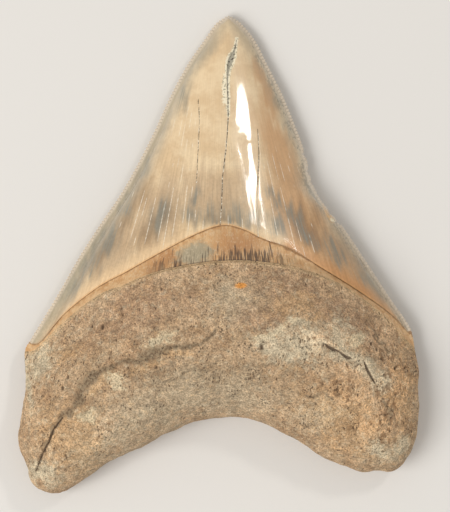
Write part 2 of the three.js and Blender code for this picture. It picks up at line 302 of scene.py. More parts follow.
# %% [markdown]
# ## Heights
#
# Every point of the two faces has a height above the floor. The crown is close to a parabola across,
# and its ridge climbs from the thin tip to the thick neck. The neck band is slightly hollow between
# the enamel's lip and the ledge where the root begins. The root bulges and rounds over at its sides.
# These are the same formulas as in the solid, evaluated much closer together.

# %% Levels of the edge, the ridge and the root
TIP_THICKNESS = 2.3
NECK_THICKNESS = 14.0
ROOT_THICKNESS = 17.8
THICKENING_POWER = 0.75
CROWN_ROUNDNESS = 1.9
TIP_EDGE_HEIGHT = 1.5
SHOULDER_EDGE_HEIGHT = 3.6
EDGE_CLIMB_POWER = 0.6
ARCH_EDGE_RISE = 2.2
ARCH_EDGE_TURN = 0.9 * math.pi
NECK_Y = -1.3
ROOT_ROUNDING = 7.5
ROOT_UNDER_ROUNDING = 4.5
LOBE_THINNING = 0.5
BULGE_PLACE = 0.35
BULGE_FALL = 0.35
BULGE_START = 0.38
NECK_HOLLOW = 0.35
ENAMEL_LIP = 0.3
LIP_SHARE = 0.05            # of the neck band's width
LEDGE_HEIGHT = 0.6
LEDGE_SHARE = 0.016         # of the root's height
LEDGE_FADE = 0.7

outline_tree = KDTree(len(outline.points))
for i, (x, y) in enumerate(outline.points):
    outline_tree.insert((x, y, 0), i)
outline_tree.balance()


def depth_inside(xy):
    return np.array([outline_tree.find((x, y, 0))[2] for x, y in xy])


def edge_height(y):
    tip_y = TIP[1]
    shoulder_y = LEFT_SHOULDER[1]
    crown = blend(
        TIP_EDGE_HEIGHT, SHOULDER_EDGE_HEIGHT,
        np.clip((tip_y - y) / (tip_y - shoulder_y), 0, 1) ** EDGE_CLIMB_POWER,
    )
    down = np.clip((shoulder_y - y) / (shoulder_y + tip_y), 0, 1)
    root = SHOULDER_EDGE_HEIGHT + ARCH_EDGE_RISE * np.sin(down * ARCH_EDGE_TURN)
    return np.where(y > shoulder_y, crown, root)


def crown_height(row):
    down = np.clip((TIP[1] - row["middle_y"]) / (TIP[1] - NECK_Y), 0, 1)
    ridge = blend(TIP_THICKNESS, NECK_THICKNESS, down**THICKENING_POWER)
    edge = edge_height(row["y"])
    return edge + (ridge - edge) * (1 - row["side"] ** CROWN_ROUNDNESS)


def quarter_round(depth, radius):
    return np.sqrt(1 - (1 - np.clip(depth / radius, 0, 1)) ** 2)


def root_height(row):
    side = row["side"]
    down = row["down"]
    bulge = 1 - BULGE_FALL * (1 - side**2) * ((down - BULGE_PLACE) / (1 - BULGE_PLACE)) ** 2
    roof = ROOT_THICKNESS * (1 - LOBE_THINNING * side**2) * bulge
    edge = edge_height(row["y"])
    body = edge + np.maximum(roof - edge, 0) * quarter_round(row["depth"], ROOT_ROUNDING)
    climb = soft_step(down, 0, LEDGE_SHARE)
    ledge = blend(-ENAMEL_LIP * (1 - side**4), LEDGE_HEIGHT * (1 - LEDGE_FADE * side**2), climb)
    return blend(crown_height(row) + ledge, body, soft_step(down, 0, BULGE_START))


def inner_height(row):
    """Height of the face that looks up."""
    if row["skin"] == "root":
        return root_height(row)
    if row["skin"] == "neck":
        up = row["up"]
        lip = ENAMEL_LIP * soft_step(1 - up, 0, LIP_SHARE)
        return crown_height(row) - (NECK_HOLLOW * np.sin(math.pi * up) + lip) * (1 - row["side"] ** 4)
    return crown_height(row)


# %% Heights of the face that it lies on
FLAT_SHARE = 0.42
EDGE_LIFT_POWER = 1.7
ROOT_HOLLOW = 1.0
HOLLOW_SHARE = 0.75
OUTER_LEDGE = 0.3


def outer_height(row):
    side = row["side"]
    down = row["down"]
    edge = edge_height(row["y"])
    crown = edge * np.clip((side - FLAT_SHARE) / (1 - FLAT_SHARE), 0, 1) ** EDGE_LIFT_POWER
    hollow = ROOT_HOLLOW * np.clip(1 - (side / HOLLOW_SHARE) ** 2, 0, 1)
    root = blend(edge, hollow, quarter_round(row["depth"], ROOT_UNDER_ROUNDING))
    onto_root = soft_step(down, 0, BULGE_START)
    ledge = OUTER_LEDGE * (1 - side**2) * soft_step(down, 0, LEDGE_SHARE) * (1 - onto_root)
    return blend(crown, root, onto_root) + ledge


# %% [markdown]
# ## Three patches on each face
#
# A mesh could be cut out of a grid, but its edge would be ragged. Here each skin is a patch that is
# stretched between four curves: a lower line, an upper line and the two sides of the tooth. So rows of
# points run along the neck's borders, and the skins meet exactly on a row. The inner face has root,
# neck band and enamel. On the outer face the enamel comes right down to the root, and lower.

# %% The lines that part the skins
CHEVRON = [
    (-32.3, -15.8), (-28.1, -10.9), (-22.0, -6.1), (-16.7, -3.2), (-10.1, 0.5), (-4.1, 3.6),
    (0.6, 5.2), (4.3, 4.5), (7.8, 2.8), (13.8, 0.3), (19.8, -3.2), (25.7, -6.9), (31.2, -10.8),
]
ROOT_LINE = [
    (-33.2, -17.2), (-28.1, -12.3), (-22.0, -7.5), (-17.3, -5.6), (-13.1, -3.8), (-7.8, -2.4),
    (-1.7, -1.4), (1.9, -1.2), (5.4, -1.2), (10.9, -1.8), (16.2, -3.0), (21.5, -5.2), (25.7, -7.8),
    (31.0, -12.1),
]
OUTER_LINE = [
    (-31.0, -14.6), (-22.0, -10.6), (-10.0, -7.6), (1.5, -6.8), (13.0, -8.2), (24.0, -11.4), (32.0, -14.8),
]


def line_between(left, points, right):
    ends = [inside(station, rim_at(station)) for station in (left, right)]
    return Curve(smooth_curve([ends[0], *points, ends[1]]))


class ArchLine:
    """The root's lower border, which follows the outline."""

    def at(self, share):
        station = blend(left_lobe, right_lobe, np.asarray(share))
        return inside(station, rim_at(station))


class TipPoint:
    """The crown's upper border, which is a single point."""

    def at(self, share):
        return inside(np.zeros_like(share), rim_at(np.zeros_like(share)))


root_line = line_between(left_shoulder, ROOT_LINE, right_shoulder)
chevron = line_between(left_chevron, CHEVRON, right_chevron)
outer_line = line_between(left_shoulder, OUTER_LINE, right_shoulder)

INNER_PATCHES = {
    "root": (ArchLine(), root_line, (left_lobe, left_shoulder), (right_lobe, right_shoulder)),
    "neck": (root_line, chevron, (left_shoulder, left_chevron), (right_shoulder, right_chevron)),
    "enamel": (chevron, TipPoint(), (left_chevron, 0), (right_chevron, 1)),
}
OUTER_PATCHES = {
    "root": (ArchLine(), outer_line, (left_lobe, left_shoulder), (right_lobe, right_shoulder)),
    "enamel": (outer_line, TipPoint(), (left_shoulder, 0), (right_shoulder, 1)),
}


def patch_points(patch, across, up):
    """Points of a patch. Across runs 0 to 1 from left to right, up 0 to 1 from lower to upper line."""
    lower, upper, left, right = patch
    across, up = np.broadcast_arrays(across, up)
    on_left = inside(blend(*left, up), rim_at(blend(*left, up)))
    right_station = blend(*right, up)
    on_right = inside(right_station, rim_at(right_station) + loss_at(right_station, [LONG_LOSS]))
    across = across[..., None]
    up = up[..., None]
    lines = blend(lower.at(across[..., 0]), upper.at(across[..., 0]), up)
    sides = blend(on_left, on_right, across)
    zero = np.zeros(across.shape[:-1])
    low_corners = blend(lower.at(zero), lower.at(zero + 1), across)
    high_corners = blend(upper.at(zero), upper.at(zero + 1), across)
    return lines + sides - blend(low_corners, high_corners, up)


# %% [markdown]
# ## Cracks
#
# One long crack runs down the crown. Near the tip it gapes like a spindle, and lower down it is a thin
# dark line, with two fainter ones beside it. The root has a long groove with soft ragged borders, thin
# crooked cracks, and a few sharp straight ones. Each is a list of points with the half width at each, so
# one curve gives both its way and its width. The mesh gets closer points beside the crown's cracks,
# because nothing finer than the spacing of its points can be carved in a mesh.

# %% The cracks
# Each point: x, y, half width
CROWN_CRACKS = {
    "main": [
        (3.3, 39.3, 0.05), (2.9, 37.2, 0.2), (2.25, 35.5, 0.62), (1.75, 33.6, 0.35), (1.6, 31.5, 0.18),
        (1.7, 27.5, 0.14), (1.7, 24.4, 0.11), (1.4, 19.8, 0.1), (1.0, 16.3, 0.1), (0.7, 13.7, 0.09),
        (0.6, 10.6, 0.09), (0.5, 8.3, 0.08), (0.2, 4.6, 0.08),
    ],
    "second": [
        (7.1, 22.8, 0.04), (7.2, 20.2, 0.06), (7.3, 18.6, 0.08), (7.2, 15.3, 0.09), (7.0, 10.7, 0.08),
        (7.0, 7.0, 0.08), (7.2, 1.9, 0.08),
    ],
    "faint": [(-3.8, 28.6, 0.05), (-3.5, 24.0, 0.07), (-3.7, 19.6, 0.07), (-4.0, 12.9, 0.05)],
}
ROOT_CRACKS = {
    "groove": [
        (-33.4, -39.4, 0.2), (-32.2, -36.7, 0.35), (-30.7, -33.7, 0.45), (-29.9, -31.7, 0.5),
        (-28.1, -29.5, 0.6), (-26.3, -27.9, 0.8), (-25.1, -26.2, 1.2), (-24.4, -24.2, 1.5),
        (-22.9, -22.2, 1.2), (-20.9, -20.7, 0.8), (-18.7, -20.0, 0.6), (-16.7, -19.3, 0.6),
        (-15.1, -18.8, 0.8), (-13.0, -18.6, 1.4), (-11.0, -17.6, 1.5), (-9.0, -17.0, 1.0),
        (-7.8, -16.5, 0.8), (-5.6, -16.4, 0.7), (-3.6, -15.8, 0.5), (-0.6, -13.8, 0.3),
    ],
    "middle": [
        (-10.5, -23.5, 0.15), (-8.7, -22.5, 0.2), (-7.0, -22.2, 0.22), (-5.2, -20.7, 0.25),
        (-3.6, -21.5, 0.2), (-1.6, -20.3, 0.18), (0.8, -19.5, 0.2), (2.8, -20.6, 0.2),
        (5.4, -20.0, 0.2), (7.4, -19.7, 0.25), (10.5, -20.0, 0.2), (13.6, -20.9, 0.1),
    ],
    "right_low": [(28.2, -24.6, 0.2), (29.5, -26.4, 0.4), (31.0, -28.6, 0.5), (30.8, -30.8, 0.4)],
    "grains": [(13.6, -24.2, 0.3), (16.5, -25.3, 0.4), (18.6, -25.0, 0.3), (20.8, -26.4, 0.3)],
    "far_right": [(27.6, -13.6, 0.3), (29.6, -16.0, 0.3), (31.5, -18.2, 0.3)],
}
SHARP_CRACKS = {
    "right": [(26.2, -19.6, 0.2), (26.7, -20.8, 0.34), (27.4, -22.0, 0.34), (28.1, -23.3, 0.2)],
    "cleft": [
        (18.9, -16.2, 0.15), (20.3, -17.0, 0.45), (21.6, -17.6, 0.2), (22.9, -18.5, 0.45),
        (23.8, -18.8, 0.2),
    ],
    "lobe": [
        (-33.4, -39.4, 0.2), (-32.2, -36.7, 0.24), (-30.7, -33.7, 0.28), (-29.9, -31.7, 0.28),
        (-28.1, -29.5, 0.2),
    ],
}
CRACK_STEP = 0.1


def beside(points, xy):
    """Where points lie along a curve: signed gap, left of it positive, and the curve's own values there."""
    curve = Curve(smooth_curve(points))
    samples = curve.at(np.linspace(0, 1, int(curve.length / CRACK_STEP) + 2))
    tree = KDTree(len(samples))
    for i, sample in enumerate(samples):
        tree.insert((sample[0], sample[1], 0), i)
    tree.balance()
    nearest = np.array([tree.find((x, y, 0))[1] for x, y in xy])
    ahead = np.gradient(samples[:, :2], axis=0)[nearest]
    offset = xy - samples[nearest, :2]
    turn = ahead[:, 0] * offset[:, 1] - ahead[:, 1] * offset[:, 0]
    return np.sign(turn) * np.hypot(*offset.T), samples[nearest]


# %% [markdown]
# ## Rows of points
#
# Along each row the points are equally far apart on the curved surface, not in plan, so the steep sides
# of the root get as many as its back. Beside a crack in the crown they crowd together. The rows
# themselves crowd at the lip and at the ledge.

# %% Place the rows
INNER_SPACING = {"root": 0.29, "neck": 0.3, "enamel": 0.36}
OUTER_SPACING = {"root": 0.56, "enamel": 0.6}
CRACK_CROWD = 4.0
CRACK_REACH = 0.45
LIP_CROWD = 2.5
LIP_REACH = 0.5
TRIAL_POINTS = 260


def crown_crowding(xy):
    """How many times closer than usual the points stand."""
    near = np.zeros(len(xy))
    for points in CROWN_CRACKS.values():
        curve = np.array(points)
        middle_x = np.interp(-xy[:, 1], -curve[:, 1], curve[:, 0], left=np.inf, right=np.inf)
        near = np.maximum(near, np.exp(-(((xy[:, 0] - middle_x) / CRACK_REACH) ** 2)))
    return 1 + (CRACK_CROWD - 1) * near


def make_row(patch, skin, across, up, face):
    """All that is known about the points of one row."""
    ends = patch_points(patch, np.array([0, 0.5, 1]), np.full(3, up))
    width = np.hypot(*(ends[1] - ends[0])) + np.hypot(*(ends[2] - ends[1]))
    left_station = blend(*patch[2], up)
    right_station = blend(*patch[3], up)
    left_rim = rim_at(left_station)
    right_rim = rim_at(right_station)
    whole = width + left_rim + right_rim + loss_at(right_station, [LONG_LOSS])
    xy = patch_points(patch, across, np.full(len(across), up))
    row = {
        "skin": skin,
        "across": across,
        "up": up,
        "down": 1 - up if skin == "root" else 0.0,
        "side": abs(2 * (across * width + left_rim) / whole - 1),
        "middle_y": ends[1][1],
        "xy": xy,
        "y": xy[:, 1],
        "stations": (left_station, right_station),
    }
    row["depth"] = depth_inside(xy) if skin == "root" else np.zeros(len(xy))
    row["z"] = (inner_height if face == "inner" else outer_height)(row)
    return row


def spread(reach, spacing):
    """Distances at which points stand about one spacing apart, given how far each trial point is."""
    count = max(2, round(reach[-1] / spacing))
    return np.linspace(0, reach[-1], count + 1)


def reach_along(xy, z, crowding):
    steps = np.sqrt((np.diff(xy, axis=0) ** 2).sum(axis=1) + np.diff(z) ** 2)
    return np.concatenate([[0], np.cumsum(steps * (crowding[1:] + crowding[:-1]) / 2)])


def row_places(patch, skin, spacing, face):
    """Where the rows of a patch cross its middle: shares of the way up."""
    trial = np.linspace(0, 1, TRIAL_POINTS) ** 2 if skin == "root" else np.linspace(0, 1, TRIAL_POINTS)
    rows = [make_row(patch, skin, np.array([0.5]), up, face) for up in trial]
    xy = np.vstack([row["xy"] for row in rows])
    z = np.concatenate([row["z"] for row in rows])
    from_top = np.hypot(*(xy - xy[-1]).T)
    from_bottom = np.hypot(*(xy - xy[0]).T)
    near = np.zeros(len(xy))
    if skin != "enamel":
        near = np.maximum(near, np.exp(-((from_top / LIP_REACH) ** 2)))
    if skin != "root":
        near = np.maximum(near, np.exp(-((from_bottom / LIP_REACH) ** 2)))
    reach = reach_along(xy, z, 1 + (LIP_CROWD - 1) * near)
    return np.interp(spread(reach, spacing), reach, trial)


def face_rows(patches, spacings, face):
    rows = []
    trial = (1 - np.cos(np.pi * np.linspace(0, 1, TRIAL_POINTS))) / 2
    for skin, patch in patches.items():
        ups = row_places(patch, skin, spacings[skin], face)
        for up in ups if skin == "root" else ups[1:]:
            if skin == "enamel" and up > 1 - 1e-9:
                rows.append(make_row(patch, skin, np.array([0.5]), 1.0, face))
                continue
            test = make_row(patch, skin, trial, up, face)
            cracked = skin == "enamel" and face == "inner"
            crowding = crown_crowding(test["xy"]) if cracked else np.ones(len(trial))
            reach = reach_along(test["xy"], test["z"], crowding)
            across = np.interp(spread(reach, spacings[skin]), reach, trial)
            rows.append(make_row(patch, skin, across, up, face))
    print(face, "face:", len(rows), "rows,", sum(len(row["z"]) for row in rows), "points")
    return rows


inner_rows = face_rows(INNER_PATCHES, INNER_SPACING, "inner")
outer_rows = face_rows(OUTER_PATCHES, OUTER_SPACING, "outer")

# %% [markdown]
# ## Sewing the rows together
#
# Two neighbouring rows seldom have the same number of points, so they are sewn like the two halves of
# a zip: each step joins whichever side lags behind. The rim is sewn to each face's border in the same
# way, with one loop between, where the serrations turn into short flutes. How deep a point of the rim
# lies in a notch is kept with it, because the notches are darkened with painted shade.

# %% Sew two lines of points
SKINS = ["enamel", "neck", "root"]


class Sewing:
    """Collects points and triangles."""

    def __init__(self):
        self.points = []
        self.notes = []
        self.triangles = []
        self.skins = []

    def add_points(self, xy, z, face, notch=None):
        """Adds points of a face. Notch is 1 in the notch between two serrations and 0 elsewhere."""
        first = len(self.points)
        for i, ((x, y), height) in enumerate(zip(xy, z)):
            self.points.append((x, y, height))
            self.notes.append((face == "outer", 0.0 if notch is None else notch[i]))
        return list(range(first, len(self.points)))

    def zip(self, lower, upper, skin, flip):
        """Sews two lines of (id, place) pairs. The skin is a name, or a function of the place."""
        i = 0
        j = 0
        while i < len(lower) - 1 or j < len(upper) - 1:
            lower_next = lower[i][1] + lower[i + 1][1] if i < len(lower) - 1 else math.inf
            upper_next = upper[j][1] + upper[j + 1][1] if j < len(upper) - 1 else math.inf
            place = lower[i][1]
            if lower_next <= upper_next:
                corners = (lower[i][0], lower[i + 1][0], upper[j][0])
                i += 1
            else:
                corners = (upper[j + 1][0], upper[j][0], lower[i][0])
                j += 1
            self.triangles.append(corners[::-1] if flip else corners)
            self.skins.append(SKINS.index(skin(place) if callable(skin) else skin))


def inner_skin(station):
    if left_shoulder < station < right_shoulder:
        return "root"
    return "neck" if left_chevron < station < right_chevron else "enamel"


def outer_skin(station):
    return "root" if left_shoulder < station < right_shoulder else "enamel"


# %% Make the rim
POINTS_PER_SERRATION = 6
ROOT_RIM_STEP = 0.4
LOOP_SHARE = 0.5
FLUTE_HEIGHT = 0.05


def rim_stations():
    """Stations of the rim's points, and where each is on its serration."""
    stations = []
    phases = []
    for start, end in ((0, left_shoulder), (right_shoulder, 1)):
        teeth = round((end - start) * outline.length / SERRATION_PITCH)
        count = teeth * POINTS_PER_SERRATION
        stations.append(np.linspace(start, end, count, endpoint=False))
        phases.append(np.arange(count) / POINTS_PER_SERRATION)
    root_count = round((right_shoulder - left_shoulder) * outline.length / ROOT_RIM_STEP)
    stations.insert(1, np.linspace(left_shoulder, right_shoulder, root_count, endpoint=False))
    phases.insert(1, np.zeros(root_count))
    return np.concatenate(stations), np.concatenate(phases)


def face_border(lines, rows):
    """A face's border: down the left side, along the arch and up the right side, with its stations."""
    border = [(line[0][0], row["stations"][0]) for line, row in zip(lines, rows)][::-1]
    border += [(i, blend(left_lobe, right_lobe, place)) for i, place in lines[0][1:-1]]
    border += [(line[-1][0], row["stations"][1]) for line, row in zip(lines, rows)]
    return border


def sew_tooth():
    sewing = Sewing()
    stations, phases = rim_stations()
    shift = serration_at(stations, phases) + loss_at(stations, BITES)
    long_loss = loss_at(stations, [LONG_LOSS])
    rim_xy = inside(stations, shift + long_loss)
    inward = serration_at(stations, phases) / SERRATION_HEIGHT
    # How deep a rim point lies in a notch; the enamel gets painted shade there
    notch = np.clip(2 * inward, 0, 1)
    rim_ids = sewing.add_points(rim_xy, edge_height(rim_xy[:, 1]), "inner", notch)
    rim = list(zip([*rim_ids, rim_ids[0]], [*stations, 1.0]))
    for face, rows, skin in (("inner", inner_rows, inner_skin), ("outer", outer_rows, outer_skin)):
        flip = face == "outer"
        lines = []
        for row in rows:
            ids = sewing.add_points(row["xy"], row["z"], face)
            lines.append(list(zip(ids, row["across"])))
        for k in range(1, len(rows)):
            sewing.zip(lines[k - 1], lines[k], rows[k]["skin"], flip)
        border = face_border(lines, rows)
        border_z = np.interp(stations, [b[1] for b in border], [sewing.points[b[0]][2] for b in border])
        loop_xy = inside(stations, long_loss + blend(shift, rim_at(stations), LOOP_SHARE))
        loop_z = blend(edge_height(rim_xy[:, 1]), border_z, LOOP_SHARE)
        loop_z = loop_z - inward * FLUTE_HEIGHT * (-1 if flip else 1)
        loop_ids = sewing.add_points(loop_xy, loop_z, face, notch)
        loop = list(zip([*loop_ids, loop_ids[0]], [*stations, 1.0]))
        sewing.zip(rim, loop, skin, flip)
        sewing.zip(loop, border, skin, flip)
    return sewing, len(rim_ids)


sewing, rim_count = sew_tooth()
points = np.array(sewing.points)
triangles = np.array(sewing.triangles)
is_outer = np.array(sewing.notes)[:, 0].astype(bool)
notch = np.array(sewing.notes)[:, 1]
print(len(points), "points,", len(triangles), "triangles")

# %% [markdown]
# ## Distances that the relief and the colours follow
#
# The relief and the colours both follow the same few lines: how far a point is from the cutting edge,
# from the chevron, from the root line, and from each crack. They are measured once, in plan. Lines that
# wear has made ragged are measured from a plan that noise has shifted a little here and there.

# %% Measure the distances
plan = points[:, :2]
from_outline = depth_inside(plan)
on_root = np.zeros(len(points), bool)
on_root[np.unique(triangles[np.array(sewing.skins) == SKINS.index("root")])] = True
above_chevron, _ = beside([tuple(p) for p in chevron.points[:: CURVE_STEPS // 4]], plan)
above_root_line, _ = beside([tuple(p) for p in root_line.points[:: CURVE_STEPS // 4]], plan)


def noise_at(xyz, size):
    """Smooth noise between about -1 and 1."""
    return np.array([noise.noise(Vector(p)) for p in xyz / size])


def wobble(seed, shifts):
    """The plan, shifted here and there by noise, so that ovals drawn on it come out irregular."""
    shifted = plan.copy()
    for size, (shift_x, shift_y) in shifts:
        for axis, shift in enumerate((shift_x, shift_y)):
            shifted[:, axis] += noise_at(points + seed + 17.0 * axis, np.array(size)) * shift
    return shifted


def crack_marks(cracks, where):
    """For each point 1 in the middle of the nearest crack and 0 beside it, and the half width there."""
    mark = np.zeros(len(points))
    width = np.zeros(len(points))
    for way in cracks.values():
        gap, here = beside(way, where)
        inside_it = np.clip(1 - abs(gap) / here[:, 2], 0, 1)
        width = np.where(inside_it > mark, here[:, 2], width)
        mark = np.maximum(mark, inside_it)
    return np.where(is_outer, 0, mark), width


# Seed, then for each noise its size along X, Y and Z and how far it shifts along X and Y
CRACK_WOBBLE = wobble(3.0, [((1.8, 1.8, 1.8), (0.8, 0.8)), ((0.6, 0.6, 0.6), (0.45, 0.45))])
crown_crack, crown_crack_width = crack_marks(CROWN_CRACKS, plan)
root_crack, root_crack_width = crack_marks(ROOT_CRACKS, CRACK_WOBBLE)
sharp_crack, _ = crack_marks(SHARP_CRACKS, plan)
for part, mark in (("crown", crown_crack), ("root", root_crack)):
    print(int((mark > 0).sum()), "points in the cracks of the", part)

# %% [markdown]
# ## Relief
#
# The enamel is smooth, with faint ripples that run up the crown and bend the reflections. A mirrored
# light shows even a slope of one degree, so relief of 0.3 mm or less shapes the long white streak: a sag
# and a hollow beside the second crack, and two swellings. The root is bone: lumpy at several sizes, with
# cracks, and pitted where blood vessels came out. The relief moves each point along its own normal,
# which works on the steep sides as well as on top.

# %% Lumps, ripples, pores and cracks
RANDOM_SEED = 11
LUMPS = [(6.0, 0.30), (2.4, 0.16), (1.1, 0.07), (0.55, 0.055)]      # size and height
RIPPLES = [((4.0, 26.0), 0.035), ((1.4, 18.0), 0.006)]             # width and length, height
SAG = (0.03, 1.2)                           # depth and reach
SAG_BEGINS = (4, 9)                         # between these Y
SAG_ENDS = (19, 24)
HOLLOW = (0.3, 5.0, 4.0)                    # depth, how far right of the second crack, reach
HOLLOW_BEGINS = (-6, 0)
HOLLOW_ENDS = (14, 20)
# Each swelling: x, y, height, reach along X, reach along Y
SWELLINGS = [(5.6, 20.9, 0.03, 2.0, 0.8), (1.8, 24.0, 0.1, 2.2, 4.0)]
PORE_COUNT = 150
PORE_LENGTHENING = 1.7
PORE_RADII = (0.14, 0.26)
BIG_PORES = [
    (-20.9, -13.1, 0.45), (-22.9, -13.0, 0.3), (-17.5, -9.8, 0.26), (-17.3, -10.9, 0.26),
    (-8.0, -8.2, 0.22), (-8.0, -10.0, 0.28), (-15.0, -12.5, 0.26), (-12.2, -11.1, 0.22),
    (-11.3, -9.8, 0.22), (-14.2, -10.0, 0.22), (-18.4, -15.4, 0.28), (-19.3, -17.6, 0.3),
    (-18.9, -7.3, 0.22), (-28.2, -24.2, 0.4), (-27.1, -22.2, 0.34),
    (7.7, -16.7, 0.5), (15.0, -15.4, 0.28), (18.8, -16.3, 0.28), (27.5, -16.2, 0.34), (28.5, -17.2, 0.34),
    (19.5, -20.1, 0.28), (32.1, -20.6, 0.32), (33.9, -20.6, 0.26), (30.9, -32.0, 0.34), (25.0, -25.4, 0.3),
]
PORE_DEPTH = 0.9                            # of its radius
GROOVE_DEPTH = 0.8                          # of its half width
DEEPEST_FROM = 0.5                          # a wider groove gets no deeper
SHARP_DEPTH = 0.3
CROWN_CRACK_DEPTH = 0.7                     # of its half width, within the next two
CROWN_CRACK_DEPTHS = (0.1, 0.35)
LEDGE_SMOOTH = (0.2, 1.2)                   # the relief begins at this distance below the root line
EDGE_SMOOTH = (0.6, 3.0)                    # and from the cutting edge
LUMPS_AT_LEDGE = 0.25
rng = np.random.default_rng(RANDOM_SEED)


def lumps():
    return sum(noise_at(points + 31.0 * k, size) * height for k, (size, height) in enumerate(LUMPS))


def ripples():
    return sum(
        noise_at(points, np.array([width, length, width])) * height for (width, length), height in RIPPLES
    )


def scatter_pores():
    """Random pores all over the root, with the large ones that are listed."""
    x = rng.uniform(-36, 36, PORE_COUNT)
    y = rng.uniform(-42, -3, PORE_COUNT)
    radius = blend(*PORE_RADII, rng.random(PORE_COUNT) ** 2)
    return np.vstack([np.column_stack([x, y, radius]), BIG_PORES])


def pore_marks(pores):
    """1 in the middle of a pore, 0 outside, and the radius of the nearest one."""
    squeeze = np.array([1, 1 / PORE_LENGTHENING])
    tree = KDTree(len(pores))
    for i, (x, y, _) in enumerate(pores):
        tree.insert((x, y / PORE_LENGTHENING, 0), i)
    tree.balance()
    found = [tree.find((x, y, 0)) for x, y in plan * squeeze]
    radius = pores[[f[1] for f in found], 2]
    gap = np.array([f[2] for f in found])
    return np.clip(1 - (gap / radius) ** 2, 0, 1), radius


def point_normals():
    corners = points[triangles]
    face = np.cross(corners[:, 1] - corners[:, 0], corners[:, 2] - corners[:, 0])
    total = np.zeros_like(points)
    for k in range(3):
        np.add.at(total, triangles[:, k], face)
    return total / np.linalg.norm(total, axis=1, keepdims=True)


def beside_second_crack():
    """The crown sags a little towards the second crack on its left, and is a little hollow on its right."""
    gap, _ = beside(CROWN_CRACKS["second"], plan)
    y = plan[:, 1]
    depth, reach = SAG
    sag = np.where(gap < 0, depth * np.exp(-((gap / reach) ** 2)), 0)
    sag *= soft_step(y, *SAG_BEGINS) * (1 - soft_step(y, *SAG_ENDS))
    depth, middle, reach = HOLLOW
    hollow = depth * np.exp(-(((gap - middle) / reach) ** 2))
    hollow *= soft_step(y, *HOLLOW_BEGINS) * (1 - soft_step(y, *HOLLOW_ENDS))
    return sag + hollow


def swellings():
    """Faint swellings of the crown, which shape the mirrored light."""
    total = np.zeros(len(points))
    for x, y, height, reach_x, reach_y in SWELLINGS:
        far = ((plan - (x, y)) / (reach_x, reach_y)) ** 2
        total += height * np.exp(-far.sum(axis=1))
    return total


pore, pore_radius = pore_marks(scatter_pores())
off_the_ledge = soft_step(-above_root_line, *LEDGE_SMOOTH)
raggedness = np.clip(0.45 + 1.5 * noise_at(points, 0.8), 0, 1.3)
root_relief = lumps() * blend(LUMPS_AT_LEDGE, 1.0, off_the_ledge)
root_relief -= pore * pore_radius * PORE_DEPTH * ~is_outer * off_the_ledge
groove_depth = np.minimum(root_crack_width, DEEPEST_FROM) * GROOVE_DEPTH
root_relief -= soft_step(root_crack, 0, 0.9) * groove_depth * raggedness
root_relief -= soft_step(sharp_crack, 0, 0.9) * SHARP_DEPTH
crown_relief = ripples() - beside_second_crack() + swellings()
crown_relief *= soft_step(from_outline, *EDGE_SMOOTH) * ~is_outer
crack_depth = np.clip(crown_crack_width * CROWN_CRACK_DEPTH, *CROWN_CRACK_DEPTHS)
crown_relief -= soft_step(crown_crack, 0, 0.7) * crack_depth
relief = np.where(on_root, root_relief, crown_relief)
relief[:rim_count] = np.where(on_root[:rim_count], relief[:rim_count], 0)
print("relief from", round(relief.min(), 2), "to", round(relief.max(), 2), "mm")

carved = points + point_normals() * relief[:, None]
carved[:, 2] = np.maximum(carved[:, 2], 0)
